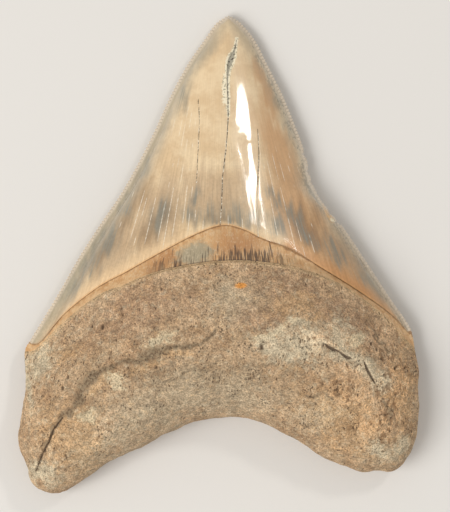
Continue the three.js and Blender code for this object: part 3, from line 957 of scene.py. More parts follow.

# %% [markdown]
# ## Stains
#
# Fossil teeth take up colour from the ground: blue-grey and brown in the enamel, grey, cream, ochre and
# mauve in the root. Each stain is a few soft ovals. Most are drawn on a plan that noise has
# shifted, so that none comes out as a plain ellipse. In the crown that noise is long and narrow, because
# the enamel's fibres run lengthwise. The mesh stores how strong each stain is at every point, and the
# materials fray its edges further.

# %% Soft ovals
# Each oval: x, y, half length, half width, and the turn of its length from +X in degrees
STAINS = {
    "blue_grey": [
        (-4.4, 10.6, 1.6, 0.9, 75), (-5.4, 7.0, 2.2, 1.7, 80), (-1.8, 6.4, 2.4, 2.2, 95),
        (2.6, 6.6, 2.6, 2.8, 90), (6.4, 6.2, 2.4, 2.6, 90), (9.8, 10.6, 2.8, 1.0, 128),
        (10.4, 5.6, 2.4, 2.0, 110), (13.8, 7.0, 3.0, 1.6, 132), (16.4, 3.6, 3.0, 1.6, 135),
        (-6.6, 28.2, 2.6, 1.0, 65), (-13.6, 15.1, 1.8, 0.9, 60), (-17.1, 8.9, 2.2, 1.3, 60),
        (-20.2, 2.2, 3.0, 2.0, 60), (-23.4, -2.2, 3.0, 1.9, 56), (-26.8, -6.8, 3.6, 1.9, 56),
        (-10.3, 7.2, 3.0, 2.0, 78), (21.5, 0.2, 4.0, 1.8, 125), (27.0, -5.0, 3.6, 1.6, 125),
        (11.3, 27.2, 2.2, 0.7, 112), (12.7, 23.4, 2.2, 0.8, 112), (17.4, 11.0, 3.0, 1.0, 115),
    ],
    "neck_grey": [(-4.3, 0.1, 3.4, 1.9, 15)],
    "neck_streaks": [
        (5.8, -0.6, 6.0, 2.4, 0), (-11.2, -3.0, 2.8, 1.5, 22), (-7.4, -1.8, 1.0, 1.6, 10),
        (16.0, -2.6, 5.0, 1.5, -20),
    ],
    "deep": [
        (-11.0, 6.5, 8.0, 5.0, 60), (-18.5, 1.0, 8.0, 3.6, 55), (-1.0, 10.0, 5.0, 7.0, 90),
        (20.9, -0.8, 6.0, 2.6, 125), (27.6, -6.6, 5.0, 2.2, 125),
    ],
    "brown": [
        (14.8, 6.4, 10.0, 4.0, 120), (23.0, -3.0, 8.0, 3.4, 125), (11.6, 17.0, 10.0, 2.6, 112),
        (29.6, -10.0, 5.0, 2.2, 125), (7.3, 32.6, 3.2, 0.9, 112), (9.2, 28.4, 3.6, 1.1, 112),
    ],
    "dusky": [
        (-16.0, 9.4, 7.0, 2.0, 60), (-11.0, 5.6, 5.0, 1.6, 50), (-21.4, 0.6, 5.0, 1.4, 58),
        (23.6, 3.4, 7.0, 2.2, 123),
        (16.0, 5.0, 4.0, 2.6, 120), (28.6, -4.0, 5.0, 1.4, 123), (0.8, 5.2, 3.6, 1.6, 0),
        (-22.6, -20.4, 3.4, 2.4, 40), (-22.8, -28.4, 2.6, 2.4, 0), (0.0, -21.6, 9.0, 2.8, 0),
        (13.0, -22.6, 4.0, 2.4, 0),
        (-9.8, -13.6, 3.0, 1.6, 0), (-30.0, -27.5, 1.8, 3.0, 0), (-11.4, -22.0, 6.0, 2.6, 0),
    ],
    # Painted light: lighter places, mostly on the root's right side, standing in for a stronger light from
    # the right
    "painted_light": [
        (31.2, -23.0, 8.5, 2.8, 90), (24.0, -23.6, 4.0, 3.4, 0), (28.4, -31.0, 4.0, 3.4, 0),
        (19.0, -15.0, 5.0, 1.6, 0),
        (29.6, -15.4, 2.6, 2.6, 0), (-21.0, -31.6, 2.6, 1.4, 35),
    ],
    "filled": [(7.1, 6.6, 4.6, 0.8, 90)],
    "rust": [(3.6, 1.9, 4.0, 2.2, 0), (-10.0, -1.3, 3.0, 1.2, 20)],
    "flaked": [(1.15, 29.6, 3.0, 0.55, 92), (20.7, 6.2, 0.5, 0.3, -30)],
    "chip": [(20.0, 7.6, 2.0, 0.6, 118)],
    "hairlines": [
        (-9.4, 8.0, 9.0, 6.0, 60), (3.0, 7.0, 4.0, 2.0, 90), (9.0, 7.0, 6.0, 3.0, 100),
        (-6.4, 22.0, 4.0, 3.0, 90), (-5.2, 5.8, 3.6, 2.6, 90), (14.0, 2.6, 4.0, 3.0, 100),
        (11.0, 14.0, 5.0, 3.0, 90),
    ],
    "pale": [
        (14.5, -15.9, 5.8, 3.0, -5), (9.6, -16.2, 3.6, 1.5, 12), (21.6, -14.6, 3.2, 1.6, 82),
        (22.4, -18.0, 3.4, 1.9, -20), (28.6, -22.0, 2.8, 1.3, -55), (25.8, -19.8, 2.6, 1.4, -30),
        (-32.2, -19.4, 3.4, 1.8, 60), (-34.6, -23.2, 4.0, 0.7, 90), (-31.7, -39.4, 2.6, 1.8, 0),
        (29.2, -35.4, 3.0, 0.9, -20), (33.0, -34.2, 2.0, 0.9, 50),
    ],
    "cream": [
        (-18.2, -22.8, 1.7, 1.4, 0), (-10.7, -15.6, 2.8, 1.0, 20), (-23.9, -29.1, 1.7, 1.2, 0),
        (8.6, -14.6, 3.6, 0.7, 28), (14.0, -12.6, 2.0, 0.6, -10), (25.0, -14.6, 1.4, 1.2, 0),
    ],
    "ochre": [
        (-21.7, -23.7, 2.6, 1.0, 35), (-12.5, -19.8, 3.4, 0.8, 15), (-27.1, -18.0, 2.4, 1.6, 30),
        (-7.8, -18.0, 3.2, 0.7, 15), (-27.0, -33.0, 5.0, 6.0, 60), (24.0, -30.0, 9.0, 5.0, -35),
        (12.8, -20.4, 2.2, 0.8, -15), (14.0, -9.6, 5.0, 2.6, -15), (33.0, -25.0, 6.0, 2.4, 90),
        (33.6, -15.6, 2.2, 0.9, -60),
    ],
    "mauve": [
        (-14.0, -10.6, 9.0, 3.6, 15), (14.0, -6.6, 8.0, 2.0, -14), (22.0, -11.0, 7.0, 2.6, -30),
        (10.0, -10.5, 6.0, 3.0, 0),
    ],
    "grey": [
        (-2.0, -25.0, 13.0, 4.4, 0), (-20.0, -33.0, 7.0, 4.0, 35), (3.4, -8.4, 3.0, 6.0, 90),
        (-12.5, -28.5, 8.0, 4.5, 20), (30.5, -36.0, 4.0, 2.4, 0),
        (18.6, -29.0, 3.6, 2.4, 20),
    ],
    "spot": [(4.0, -5.7, 1.0, 0.55, 0)],
}


ROOT_WOBBLE = wobble(5.0, [((4.0, 4.0, 4.0), (1.8, 1.8)), ((1.2, 1.2, 1.2), (0.6, 0.6))])
CROWN_WOBBLE = wobble(9.0, [((0.9, 9.0, 3.0), (0.2, 2.4)), ((3.0, 6.0, 3.0), (0.7, 0.7))])
PLACED_EXACTLY = ("flaked", "chip", "hairlines", "spot", "neck_grey", "neck_streaks", "filled")
print(len(STAINS), "stains of", sum(len(ovals) for ovals in STAINS.values()), "ovals")


def stain_amount(ovals, where):
    """About 1 inside an oval, 0.5 on its border and 0 well outside."""
    amount = np.zeros(len(points))
    for x, y, half_length, half_width, turn in ovals:
        angle = math.radians(turn)
        right, up = (where - (x, y)).T
        along = right * math.cos(angle) + up * math.sin(angle)
        across = up * math.cos(angle) - right * math.sin(angle)
        far = np.hypot(along / half_length, across / half_width)
        amount = np.maximum(amount, 1 - soft_step(far, 0.1, 1.9))
    return amount


def beside_main_crack():
    """1 at the border of the main crack's open part, 0 half a millimetre away from it."""
    gap, here = beside(CROWN_CRACKS["main"], plan)
    open_part = soft_step(plan[:, 1], 23, 27)
    return (1 - soft_step(abs(gap) - here[:, 2], 0, 0.5)) * open_part


# %% [markdown]
# ## The mesh
#
# The outline was drawn in millimetres about a middle of its own, so the finished points are moved to the
# solid's box and turned into metres. Each stain and distance becomes a named value on the points.

# %% Build the mesh object
def to_frame(xyz):
    low, high = (np.array(corner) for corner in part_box("tooth"))
    middle = (low + high) / 2
    drawn = (points.min(axis=0) + points.max(axis=0)) / 2
    moved = (xyz - drawn) * MM
    moved[:, 0] += middle[0]
    moved[:, 1] += middle[1]
    moved[:, 2] = xyz[:, 2] * MM + low[2]
    return moved


def build_mesh(name):
    mesh = bpy.data.meshes.new(name)
    mesh.from_pydata(to_frame(carved).tolist(), [], triangles.tolist())
    mesh.polygons.foreach_set("material_index", sewing.skins)
    mesh.shade_smooth()
    ends = np.zeros(2 * len(mesh.edges), int)
    mesh.edges.foreach_get("vertices", ends)
    ends = ends.reshape(-1, 2)
    sharp = (ends < rim_count).all(axis=1) & ~on_root[ends].all(axis=1)
    mesh.attributes.new("sharp_edge", "BOOLEAN", "EDGE").data.foreach_set("value", sharp)
    return mesh


def store(mesh, name, values):
    mesh.attributes.new(name, "FLOAT", "POINT").data.foreach_set("value", values.astype(np.float32))


tooth_mesh = build_mesh("fossil_tooth_surface")
tooth = bpy.data.objects.new("fossil_tooth_surface", tooth_mesh)
bpy.context.collection.objects.link(tooth)
for stain_name, ovals in STAINS.items():
    if stain_name in PLACED_EXACTLY:
        amount = stain_amount(ovals, plan)
    else:
        amount = np.where(on_root, stain_amount(ovals, ROOT_WOBBLE), stain_amount(ovals, CROWN_WOBBLE))
    store(tooth_mesh, stain_name, np.where(is_outer, 0, amount))
store(tooth_mesh, "beside_crack", np.where(is_outer, 0, beside_main_crack()))
store(tooth_mesh, "from_edge", from_outline - np.where(plan[:, 0] > 0, bell(plan[:, 1], *LONG_LOSS), 0))
store(tooth_mesh, "above_chevron", np.where(is_outer, 9, above_chevron))
store(tooth_mesh, "above_root_line", np.where(is_outer, -9, above_root_line))
store(tooth_mesh, "crack", np.where(on_root, root_crack, crown_crack))
store(tooth_mesh, "sharp_crack", sharp_crack)
store(tooth_mesh, "gape", np.clip(crown_crack_width * 4, 0, 1))
store(tooth_mesh, "notch", notch)
store(tooth_mesh, "pore", pore * off_the_ledge * ~is_outer)
print("mesh box", [round(v * 1000, 2) for v in tooth.dimensions], "mm")

# %% [markdown]
# ## Short ways to wire nodes
#
# A material is a graph, and most of its nodes are sums, blends and thresholds. A few helpers keep each
# of them on one line. An input is a number, a colour, or another node's output.

# %% Wiring helpers
def paint(red, green, blue):
    """A colour as it looks on a screen, 0 to 255, as the linear values that shaders use."""
    def linear(value):
        value = value / 255
        return value / 12.92 if value <= 0.04045 else ((value + 0.055) / 1.055) ** 2.4
    return (linear(red), linear(green), linear(blue), 1)


def add_node(tree, kind, inputs=(), **settings):
    node = tree.nodes.new("ShaderNode" + kind)
    for name, value in settings.items():
        setattr(node, name, value)
    for name, value in dict(inputs).items():
        if isinstance(value, bpy.types.NodeSocket):
            tree.links.new(value, node.inputs[name])
        else:
            node.inputs[name].default_value = value
    return node


def calc(tree, operation, a, b=0.0):
    return add_node(tree, "Math", {0: a, 1: b}, operation=operation).outputs[0]


def ramp(tree, value, low, high):
    """0 below low, 1 above high, with a smooth climb."""
    inputs = {"Value": value, "From Min": low, "From Max": high}
    return add_node(tree, "MapRange", inputs, interpolation_type="SMOOTHSTEP").outputs[0]


def scale_to(tree, value, low, high):
    return add_node(tree, "MapRange", {"Value": value, "To Min": low, "To Max": high}).outputs[0]


def mix(tree, mask, a, b):
    node = add_node(tree, "Mix", {0: mask, 6: a, 7: b}, data_type="RGBA")
    return node.outputs[2]


def times(tree, a, b):
    return calc(tree, "MULTIPLY", a, b)


def plus(tree, a, b):
    return calc(tree, "ADD", a, b)


def minus(tree, a, b):
    return calc(tree, "SUBTRACT", a, b)


def fall(tree, value, low, high):
    """1 below low, 0 above high, with a smooth fall."""
    return minus(tree, 1.0, ramp(tree, value, low, high))


def cover(tree, colour, mask, strength, stain):
    """Lays a stain over a colour."""
    return mix(tree, times(tree, mask, strength), colour, stain)


def tint(tree, colour, other):
    """Multiplies two colours."""
    node = add_node(tree, "Mix", {0: 1.0, 6: colour, 7: other}, data_type="RGBA", blend_type="MULTIPLY")
    return node.outputs[2]


def shaded(tree, colour, shade):
    """Darkens or lightens a colour by a value."""
    grey = add_node(tree, "CombineColor", {0: shade, 1: shade, 2: shade}).outputs[0]
    return tint(tree, colour, grey)


def stored(tree, name):
    return add_node(tree, "Attribute", attribute_name=name, attribute_type="GEOMETRY").outputs["Fac"]


def group_node(tree, group, **inputs):
    node = tree.nodes.new("ShaderNodeGroup")
    node.node_tree = group
    for name, value in inputs.items():
        socket = node.inputs[name.replace("_", " ").capitalize()]
        if isinstance(value, bpy.types.NodeSocket):
            tree.links.new(value, socket)
        else:
            socket.default_value = value
    return node.outputs[0]


def start_group(name, inputs, output, output_type="NodeSocketFloat"):
    """A new node group with one output. An input that starts as a colour takes colours."""
    group = bpy.data.node_groups.new(name, "ShaderNodeTree")
    for label, value in inputs.items():
        input_type = "NodeSocketColor" if isinstance(value, tuple) else "NodeSocketFloat"
        socket = group.interface.new_socket(name=label, in_out="INPUT", socket_type=input_type)
        socket.default_value = value
    group.interface.new_socket(name=output, in_out="OUTPUT", socket_type=output_type)
    given = group.nodes.new("NodeGroupInput").outputs
    result = group.nodes.new("NodeGroupOutput").inputs[0]
    return group, given, result


def millimetres(tree):
    """Where a point of the surface is, in millimetres."""
    place = add_node(tree, "TexCoord").outputs["Object"]
    return add_node(tree, "VectorMath", {0: place, "Scale": 1000.0}, operation="SCALE").outputs[0]


def noise_node(tree, vector, scale, detail, roughness):
    inputs = {"Vector": vector, "Scale": scale, "Detail": detail, "Roughness": roughness}
    return add_node(tree, "TexNoise", inputs).outputs["Fac"]


# %% [markdown]
# ## Node groups
#
# The effects of the materials are groups, built once: grain, a patch with ragged edges, streaks that
# run up the crown, hairlines along the same ways, specks in clusters, and dusk, which darkens a colour.
# Each puts out one value or one colour, and each material gives it its own numbers.

# %% Grain: fine mottling of one size
def make_grain():
    group, given, result = start_group("grain", {"Size": 1.0, "Detail": 3.0}, "Value")
    per_mm = calc(group, "DIVIDE", 1.0, given["Size"])
    group.links.new(noise_node(group, millimetres(group), per_mm, given["Detail"], 0.65), result)
    return group


# %% Ragged patch: a stain's soft oval with its border broken up by noise
def make_ragged_patch():
    inputs = {"Amount": 0.5, "Size": 1.0, "Raggedness": 0.5, "Softness": 0.2}
    group, given, result = start_group("ragged_patch", inputs, "Mask")
    per_mm = calc(group, "DIVIDE", 1.0, given["Size"])
    rough = noise_node(group, millimetres(group), per_mm, 4.0, 0.7)
    push = times(group, minus(group, rough, 0.5), given["Raggedness"])
    pushed = plus(group, given["Amount"], times(group, push, 2.0))
    low = minus(group, 0.5, given["Softness"])
    high = plus(group, 0.5, given["Softness"])
    group.links.new(ramp(group, pushed, low, high), result)
    return group


# %% Streaks: noise drawn out along lines that fan down from a point above the tip
STREAKS_MEET_Y = 58.0
TRUE_WIDTH_BELOW = 50.0     # this far below the meeting point a streak is as wide as its number says


def fan(group):
    """Two outputs: which of the fanned-out lines a point is on, and its Y."""
    place = add_node(group, "SeparateXYZ", {0: millimetres(group)})
    below = minus(group, STREAKS_MEET_Y, place.outputs["Y"])
    line = calc(group, "DIVIDE", times(group, place.outputs["X"], TRUE_WIDTH_BELOW), below)
    return line, place.outputs["Y"]


def make_streaks():
    inputs = {"Width": 0.5, "Length": 12.0, "Shift": 0.0}
    group, given, result = start_group("streaks", inputs, "Value")
    line, y = fan(group)
    across = calc(group, "DIVIDE", line, given["Width"])
    along = calc(group, "DIVIDE", y, given["Length"])
    vector = add_node(group, "CombineXYZ", {0: across, 1: along, 2: given["Shift"]}).outputs[0]
    group.links.new(noise_node(group, vector, 1.0, 2.0, 0.6), result)
    return group


# %% Hairlines: thin straight cracks along the same lines, each broken up in its own way
def make_hairlines():
    inputs = {"Spacing": 1.0, "Width": 0.1, "Zone": 1.0}
    group, given, result = start_group("hairlines", inputs, "Mask")
    line, y = fan(group)
    count = calc(group, "DIVIDE", line, given["Spacing"])
    cells = add_node(group, "TexVoronoi", {"W": count, "Scale": 1.0}, voronoi_dimensions="1D")
    gap = times(group, cells.outputs["Distance"], given["Spacing"])
    thin = fall(group, gap, 0.02, given["Width"])
    own = add_node(group, "SeparateColor", {0: cells.outputs["Color"]}).outputs[0]
    own_place = add_node(group, "CombineXYZ", {0: times(group, own, 90.0), 1: y}).outputs[0]
    stretch = minus(group, noise_node(group, own_place, 0.3, 2.0, 0.5), 0.5)
    there = ramp(group, plus(group, given["Zone"], times(group, stretch, 3.0)), 0.6, 0.9)
    dots = scale_to(group, ramp(group, noise_node(group, own_place, 1.8, 2.0, 0.6), 0.38, 0.58), 0.35, 1.0)
    group.links.new(times(group, thin, times(group, there, dots)), result)
    return group


# %% Specks: small grains, in clusters
SPECK_SQUEEZE = (1.0, 0.65, 1.0)     # makes specks longer along Y


def make_specks():
    inputs = {"Size": 0.4, "Cut": 0.62, "Clustering": 0.3}
    group, given, result = start_group("specks", inputs, "Mask")
    place = millimetres(group)
    squeezed = add_node(group, "VectorMath", {0: place, 1: SPECK_SQUEEZE}, operation="MULTIPLY")
    per_mm = calc(group, "DIVIDE", 1.0, given["Size"])
    dots = noise_node(group, squeezed.outputs[0], per_mm, 2.0, 0.5)
    clusters = minus(group, noise_node(group, place, 0.3, 3.0, 0.6), 0.5)
    value = plus(group, dots, times(group, clusters, given["Clustering"]))
    high = plus(group, given["Cut"], 0.07)
    group.links.new(ramp(group, value, given["Cut"], high), result)
    return group


# %% Dusk: a colour, darkened where a mask is
DUSK = (0.58, 0.54, 0.50, 1)
WHITE = (1.0, 1.0, 1.0, 1.0)


def make_dusk():
    inputs = {"Colour": WHITE, "Amount": 0.0, "Strength": 1.0}
    group, given, result = start_group("dusk", inputs, "Colour", "NodeSocketColor")
    dark = tint(group, given["Colour"], DUSK)
    group.links.new(cover(group, given["Colour"], given["Amount"], given["Strength"], dark), result)
    return group


grain = make_grain()
ragged_patch = make_ragged_patch()
streaks = make_streaks()
hairlines = make_hairlines()
specks = make_specks()
dusk = make_dusk()
print("groups", [group.name for group in bpy.data.node_groups])


def stain_mask(tree, name, size, raggedness, softness):
    """A stored stain with its border frayed by noise of the given size in mm."""
    return group_node(
        tree, ragged_patch, amount=stored(tree, name), size=size, raggedness=raggedness, softness=softness,
    )


# %% [markdown]
# ## Finishing a material
#
# All three materials end in the same way: a Principled shader with its constants set on its own sockets,
# and a Bump node for what is too fine for the mesh. The tooth is modelled at its real size, so the bump
# distance is a real one too.

# %% Shader and bump
def new_material(name, **constants):
    material = bpy.data.materials.new(name)
    material.use_nodes = True
    tree = material.node_tree
    shader = tree.nodes["Principled BSDF"]
    for label, value in constants.items():
        shader.inputs[label.replace("_", " ")].default_value = value
    return material, tree, shader


def finish_material(tree, shader, colour, roughness, height, depth_mm):
    tree.links.new(colour, shader.inputs["Base Color"])
    tree.links.new(roughness, shader.inputs["Roughness"])
    bump = add_node(tree, "Bump", {"Height": height, "Distance": depth_mm * MM})
    tree.links.new(bump.outputs[0], shader.inputs["Normal"])


# %% [markdown]
# ## Enamel
#
# The enamel is glossy, and stained in soft clouds and streaks. Its colours could be painted in an image,
# but an image has one fineness, and nobody can tell later why a colour is where it is. Here they are laid
# over each other in steps. Each step is a short function that takes the colour so far and gives back the
# next: the ground with its stains, the orange band above the chevron, the margins beside the cutting
# edges, shade and hairlines, and last the flaked places and the cracks.

# %% The enamel's colours
ENAMEL_LIGHT = paint(238, 212, 172)
ENAMEL_TAN = paint(224, 194, 152)
ENAMEL_DEEP = paint(184, 156, 124)
ENAMEL_BROWN = paint(206, 160, 112)
ENAMEL_EDGE = paint(166, 158, 138)
ENAMEL_RIM = paint(226, 210, 188)
ENAMEL_MARGIN = paint(200, 186, 162)
MARGIN_SPECK = paint(112, 104, 90)
BLUE_GREY = paint(134, 132, 120)
ORANGE_PALE = paint(236, 202, 158)
ORANGE_DEEP = paint(208, 152, 98)
LIP_ORANGE = paint(226, 176, 120)
HAIRLINE = paint(250, 240, 220)
FLAKED = paint(250, 240, 212)
FLAKED_GREY = paint(172, 168, 144)
CHIP = paint(222, 172, 100)
CRACK_DARK = paint(64, 52, 42)
CRACK_GREY = paint(176, 170, 152)


# %% Enamel: the ground, its stains and the blue-grey streaks
def enamel_ground(tree, clouds, broad_push):
    colour = mix(tree, ramp(tree, clouds, 0.36, 0.6), ENAMEL_TAN, ENAMEL_LIGHT)
    for name, stain, strength in (("deep", ENAMEL_DEEP, 0.7), ("brown", ENAMEL_BROWN, 0.85)):
        pushed = plus(tree, stored(tree, name), times(tree, broad_push, 0.6))
        colour = cover(tree, colour, ramp(tree, pushed, 0.1, 0.9), strength, stain)
    dusky = ramp(tree, plus(tree, stored(tree, "dusky"), times(tree, broad_push, 0.5)), 0.0, 1.0)
    return group_node(tree, dusk, colour=colour, amount=dusky, strength=0.85)


def blue_grey_streaks(tree, colour, fine, broad):
    streaked = plus(tree, times(tree, fine, 0.7), times(tree, broad, 0.5))
    streaked = plus(tree, ramp(tree, streaked, 0.42, 0.75), 0.25)
    grey = ramp(tree, times(tree, stored(tree, "blue_grey"), streaked), 0.0, 1.25)
    return cover(tree, colour, grey, 0.9, BLUE_GREY)


# %% [markdown]
# ### The orange band
#
# Just above the chevron the enamel is orange. The band is narrow and faint in the middle, and wide and
# strong towards the sides. Right at the lip lies a thin line of a deeper orange.

# %% Enamel: the orange band above the chevron
BAND_MIDDLE_X = 1.0
BAND_WIDENS = (4.0, 13.0)           # between these distances from its middle
BAND_WIDTH = (0.8, 2.6)             # in the middle, at the sides
BAND_STRENGTH = (0.4, 0.85)
LIP_WIDTH = (0.1, 0.35)


def plan_place(tree):
    """Two outputs: X and Y in millimetres."""
    place = add_node(tree, "SeparateXYZ", {0: millimetres(tree)})
    return place.outputs["X"], place.outputs["Y"]


def orange_band(tree, colour, push):
    lip = stored(tree, "above_chevron")
    x, _ = plan_place(tree)
    aside = ramp(tree, calc(tree, "ABSOLUTE", minus(tree, x, BAND_MIDDLE_X)), *BAND_WIDENS)
    frayed = plus(tree, lip, times(tree, push, 1.8))
    band = fall(tree, frayed, 0.2, scale_to(tree, aside, *BAND_WIDTH))
    orange = mix(tree, ramp(tree, stored(tree, "brown"), 0.0, 0.5), ORANGE_PALE, ORANGE_DEEP)
    colour = cover(tree, colour, band, scale_to(tree, aside, *BAND_STRENGTH), orange)
    return cover(tree, colour, fall(tree, lip, *LIP_WIDTH), 0.6, LIP_ORANGE)


# %% [markdown]
# ### The margins
#
# Near the cutting edges there is no dark core behind the enamel, so it looks grey there, with an uneven
# border. The right edge also has a narrow pale margin with dark specks. The rim itself is worn pale, and
# the notches between its teeth are darkened with painted shade.

# %% Enamel: the margins beside the cutting edges
# Each margin is full up to its first distance from the edge, and gone beyond its second
GREY_MARGIN = (0.8, 3.4)
PALE_MARGIN = (0.7, 1.3)
SPECKED_MARGIN = (0.8, 2.0)
WORN_RIM = (0.3, 0.8)
RIGHT_BEGINS_X = (3.0, 8.0)
TIP_BEGINS_Y = (36.0, 43.0)


def margins(tree, colour, clouds, broad_push):
    edge = stored(tree, "from_edge")
    x, y = plan_place(tree)
    on_right = ramp(tree, x, *RIGHT_BEGINS_X)
    off_tip = scale_to(tree, ramp(tree, y, *TIP_BEGINS_Y), 1.0, 0.6)
    uneven = plus(tree, times(tree, broad_push, 1.4), times(tree, minus(tree, clouds, 0.5), 3.0))
    grey = fall(tree, plus(tree, edge, uneven), *GREY_MARGIN)
    strength = times(tree, scale_to(tree, on_right, 0.75, 0.4), off_tip)
    colour = cover(tree, colour, grey, strength, ENAMEL_EDGE)
    pale = times(tree, fall(tree, edge, *PALE_MARGIN), on_right)
    colour = cover(tree, colour, pale, 0.6, ENAMEL_MARGIN)
    dots = group_node(tree, specks, size=0.4, cut=0.5, clustering=0.9)
    specked = times(tree, times(tree, fall(tree, edge, *SPECKED_MARGIN), on_right), dots)
    return cover(tree, colour, specked, 0.5, MARGIN_SPECK)


def chip_rim_and_notches(tree, colour):
    colour = cover(tree, colour, stain_mask(tree, "chip", 0.6, 0.5, 0.2), 0.8, CHIP)
    colour = cover(tree, colour, fall(tree, stored(tree, "from_edge"), *WORN_RIM), 0.75, ENAMEL_RIM)
    # Painted shade: the notches between the serrations are darkened
    return group_node(tree, dusk, colour=colour, amount=stored(tree, "notch"), strength=0.75)


# %% [markdown]
# ### Shade, hairlines and damage
#
# Fine streaks shade the enamel, most strongly near the chevron, and white hairlines are cracks that
# catch the light. Where the enamel has flaked off, it is pale and dull. A crack that gapes is dark with
# grey grit, a thin one is a dark line with pale dots, and the lower part of the second is filled with
# pale mineral.

# %% Enamel: shade and hairlines, then flakes and cracks
SHADE_FADES = (4.0, 22.0)           # between these distances above the chevron
SHADE_CONTRAST = (0.16, 0.05)       # near the chevron, far from it


def shade_and_hairlines(tree, colour, fine, mottle):
    shade = plus(tree, times(tree, fine, 0.6), times(tree, mottle, 0.4))
    centred = minus(tree, times(tree, ramp(tree, shade, 0.3, 0.7), 2.0), 1.0)
    fade = ramp(tree, stored(tree, "above_chevron"), *SHADE_FADES)
    contrast = scale_to(tree, fade, *SHADE_CONTRAST)
    colour = shaded(tree, colour, plus(tree, times(tree, centred, contrast), 1.0))
    lines = group_node(tree, hairlines, spacing=1.4, width=0.1, zone=stored(tree, "hairlines"))
    return cover(tree, colour, lines, 0.75, HAIRLINE)


def flakes_and_cracks(tree, colour):
    """Two outputs: the colour, and where the gloss is lost."""
    amount = calc(tree, "MAXIMUM", stored(tree, "flaked"), stored(tree, "beside_crack"))
    flaked = group_node(tree, ragged_patch, amount=amount, size=0.4, raggedness=0.9, softness=0.2)
    dotted = group_node(tree, grain, size=0.45, detail=2.0)
    flaked_colour = mix(tree, ramp(tree, dotted, 0.38, 0.48), FLAKED_GREY, FLAKED)
    colour = cover(tree, colour, flaked, 0.9, flaked_colour)
    crack = ramp(tree, stored(tree, "crack"), 0.05, 0.4)
    open_colour = mix(tree, ramp(tree, dotted, 0.36, 0.46), CRACK_DARK, CRACK_GREY)
    thin_colour = mix(tree, ramp(tree, dotted, 0.5, 0.62), CRACK_DARK, HAIRLINE)
    thin_colour = mix(tree, ramp(tree, stored(tree, "filled"), 0.1, 0.5), thin_colour, HAIRLINE)
    crack_colour = mix(tree, stored(tree, "gape"), thin_colour, open_colour)
    return mix(tree, crack, colour, crack_colour), calc(tree, "MAXIMUM", flaked, crack)


# %% [markdown]
# ### The coat
#
# The gloss is a thin coat over the colour. It is lost where the enamel has flaked or cracked, and worn
# near the chevron, in streaks further up and altogether close to it, so the mirrored light frays there.

# %% Enamel: the coat and the whole material
# Each is full up to its first distance above the chevron, and gone beyond its second
WORN_IN_STREAKS = (5.0, 10.0)
WORN_ALL_OVER = (1.0, 5.0)
COAT_LEFT = (1.0, 0.1)              # weight of the coat where it is whole, where it is lost
ENAMEL_BUMP = 0.012


def coat_weight(tree, dull, fine):
    lip = stored(tree, "above_chevron")
    worn = times(tree, fall(tree, lip, *WORN_IN_STREAKS), ramp(tree, fine, 0.36, 0.56))
    worn = calc(tree, "MAXIMUM", worn, fall(tree, lip, *WORN_ALL_OVER))
    return scale_to(tree, calc(tree, "MAXIMUM", dull, worn), *COAT_LEFT)


def make_enamel():
    material, tree, shader = new_material("glossy_enamel", Coat_Roughness=0.06, IOR=1.5, Coat_IOR=1.5)
    fine = group_node(tree, streaks, width=0.3, length=7.0)
    broad = group_node(tree, streaks, width=1.6, length=12.0, shift=4.0)
    clouds = group_node(tree, grain, size=5.0, detail=4.0)
    mottle = group_node(tree, grain, size=0.5, detail=3.0)
    fine_push = minus(tree, fine, 0.5)
    broad_push = minus(tree, broad, 0.5)
    colour = enamel_ground(tree, clouds, broad_push)
    colour = blue_grey_streaks(tree, colour, fine, broad)
    colour = orange_band(tree, colour, plus(tree, fine_push, broad_push))
    colour = margins(tree, colour, clouds, broad_push)
    colour = chip_rim_and_notches(tree, colour)
    colour = shade_and_hairlines(tree, colour, fine, mottle)
    colour, dull = flakes_and_cracks(tree, colour)
    tree.links.new(coat_weight(tree, dull, fine), shader.inputs["Coat Weight"])
    roughness = scale_to(tree, calc(tree, "MAXIMUM", dull, times(tree, fine, 0.3)), 0.28, 0.75)
    height = plus(tree, fine, times(tree, mottle, 0.15))
    finish_material(tree, shader, colour, roughness, height, ENAMEL_BUMP)
    return material


enamel_material = make_enamel()
print(enamel_material.name, "has", len(enamel_material.node_tree.nodes), "nodes")


# %% [markdown]
# ## Neck band
#
# Below the enamel's lip lies the neck band, which is satin and orange-brown, rusty in places, and grey in
# one part. Dark brown streaks climb from its lower edge, each to its own height, and a painted shadow
# lies along that edge, at the foot of the root's ledge. A thin dark line runs along its upper edge, under
# the lip. One material with a mask could serve the enamel and the band together, but they differ in gloss
# and in most stains, so the band has a shorter one of its own.

# %% The neck band's colours and distances
NECK_LIGHT = paint(224, 186, 138)
NECK_TAN = paint(206, 160, 110)
NECK_RUST = paint(178, 126, 80)
NECK_PALE = paint(230, 210, 178)
NECK_DARK = paint(72, 56, 46)
NECK_GREY = paint(164, 156, 132)
NECK_LINE = paint(124, 92, 66)
HIGHEST_STREAK = 3.8
STREAKED_FROM = (1.9, 3.6)          # no streaks where the band is narrower, all where it is wider
# Painted shadow along the band's lower edge, at the foot of the root's ledge
FOOT_SHADOW = (0.05, 0.3)             # full up to the first distance above the root line
LINE_WIDTH = (0.1, 0.3)
NECK_BUMP = 0.12
print("the neck band's streaks climb up to", HIGHEST_STREAK, "mm high")


# %% Neck band: ground, streaks and the whole material
def neck_ground(tree, mottle):
    colour = mix(tree, ramp(tree, mottle, 0.4, 0.6), NECK_TAN, NECK_LIGHT)
    colour = cover(tree, colour, stain_mask(tree, "rust", 1.2, 0.8, 0.5), 0.75, NECK_RUST)
    colour = cover(tree, colour, stain_mask(tree, "neck_grey", 1.0, 0.6, 0.3), 0.85, NECK_GREY)
    flecks = group_node(tree, specks, size=0.3, cut=0.56, clustering=0.4)
    colour = cover(tree, colour, flecks, 0.25, NECK_PALE)
    return group_node(tree, dusk, colour=colour, amount=stored(tree, "dusky"), strength=0.35)


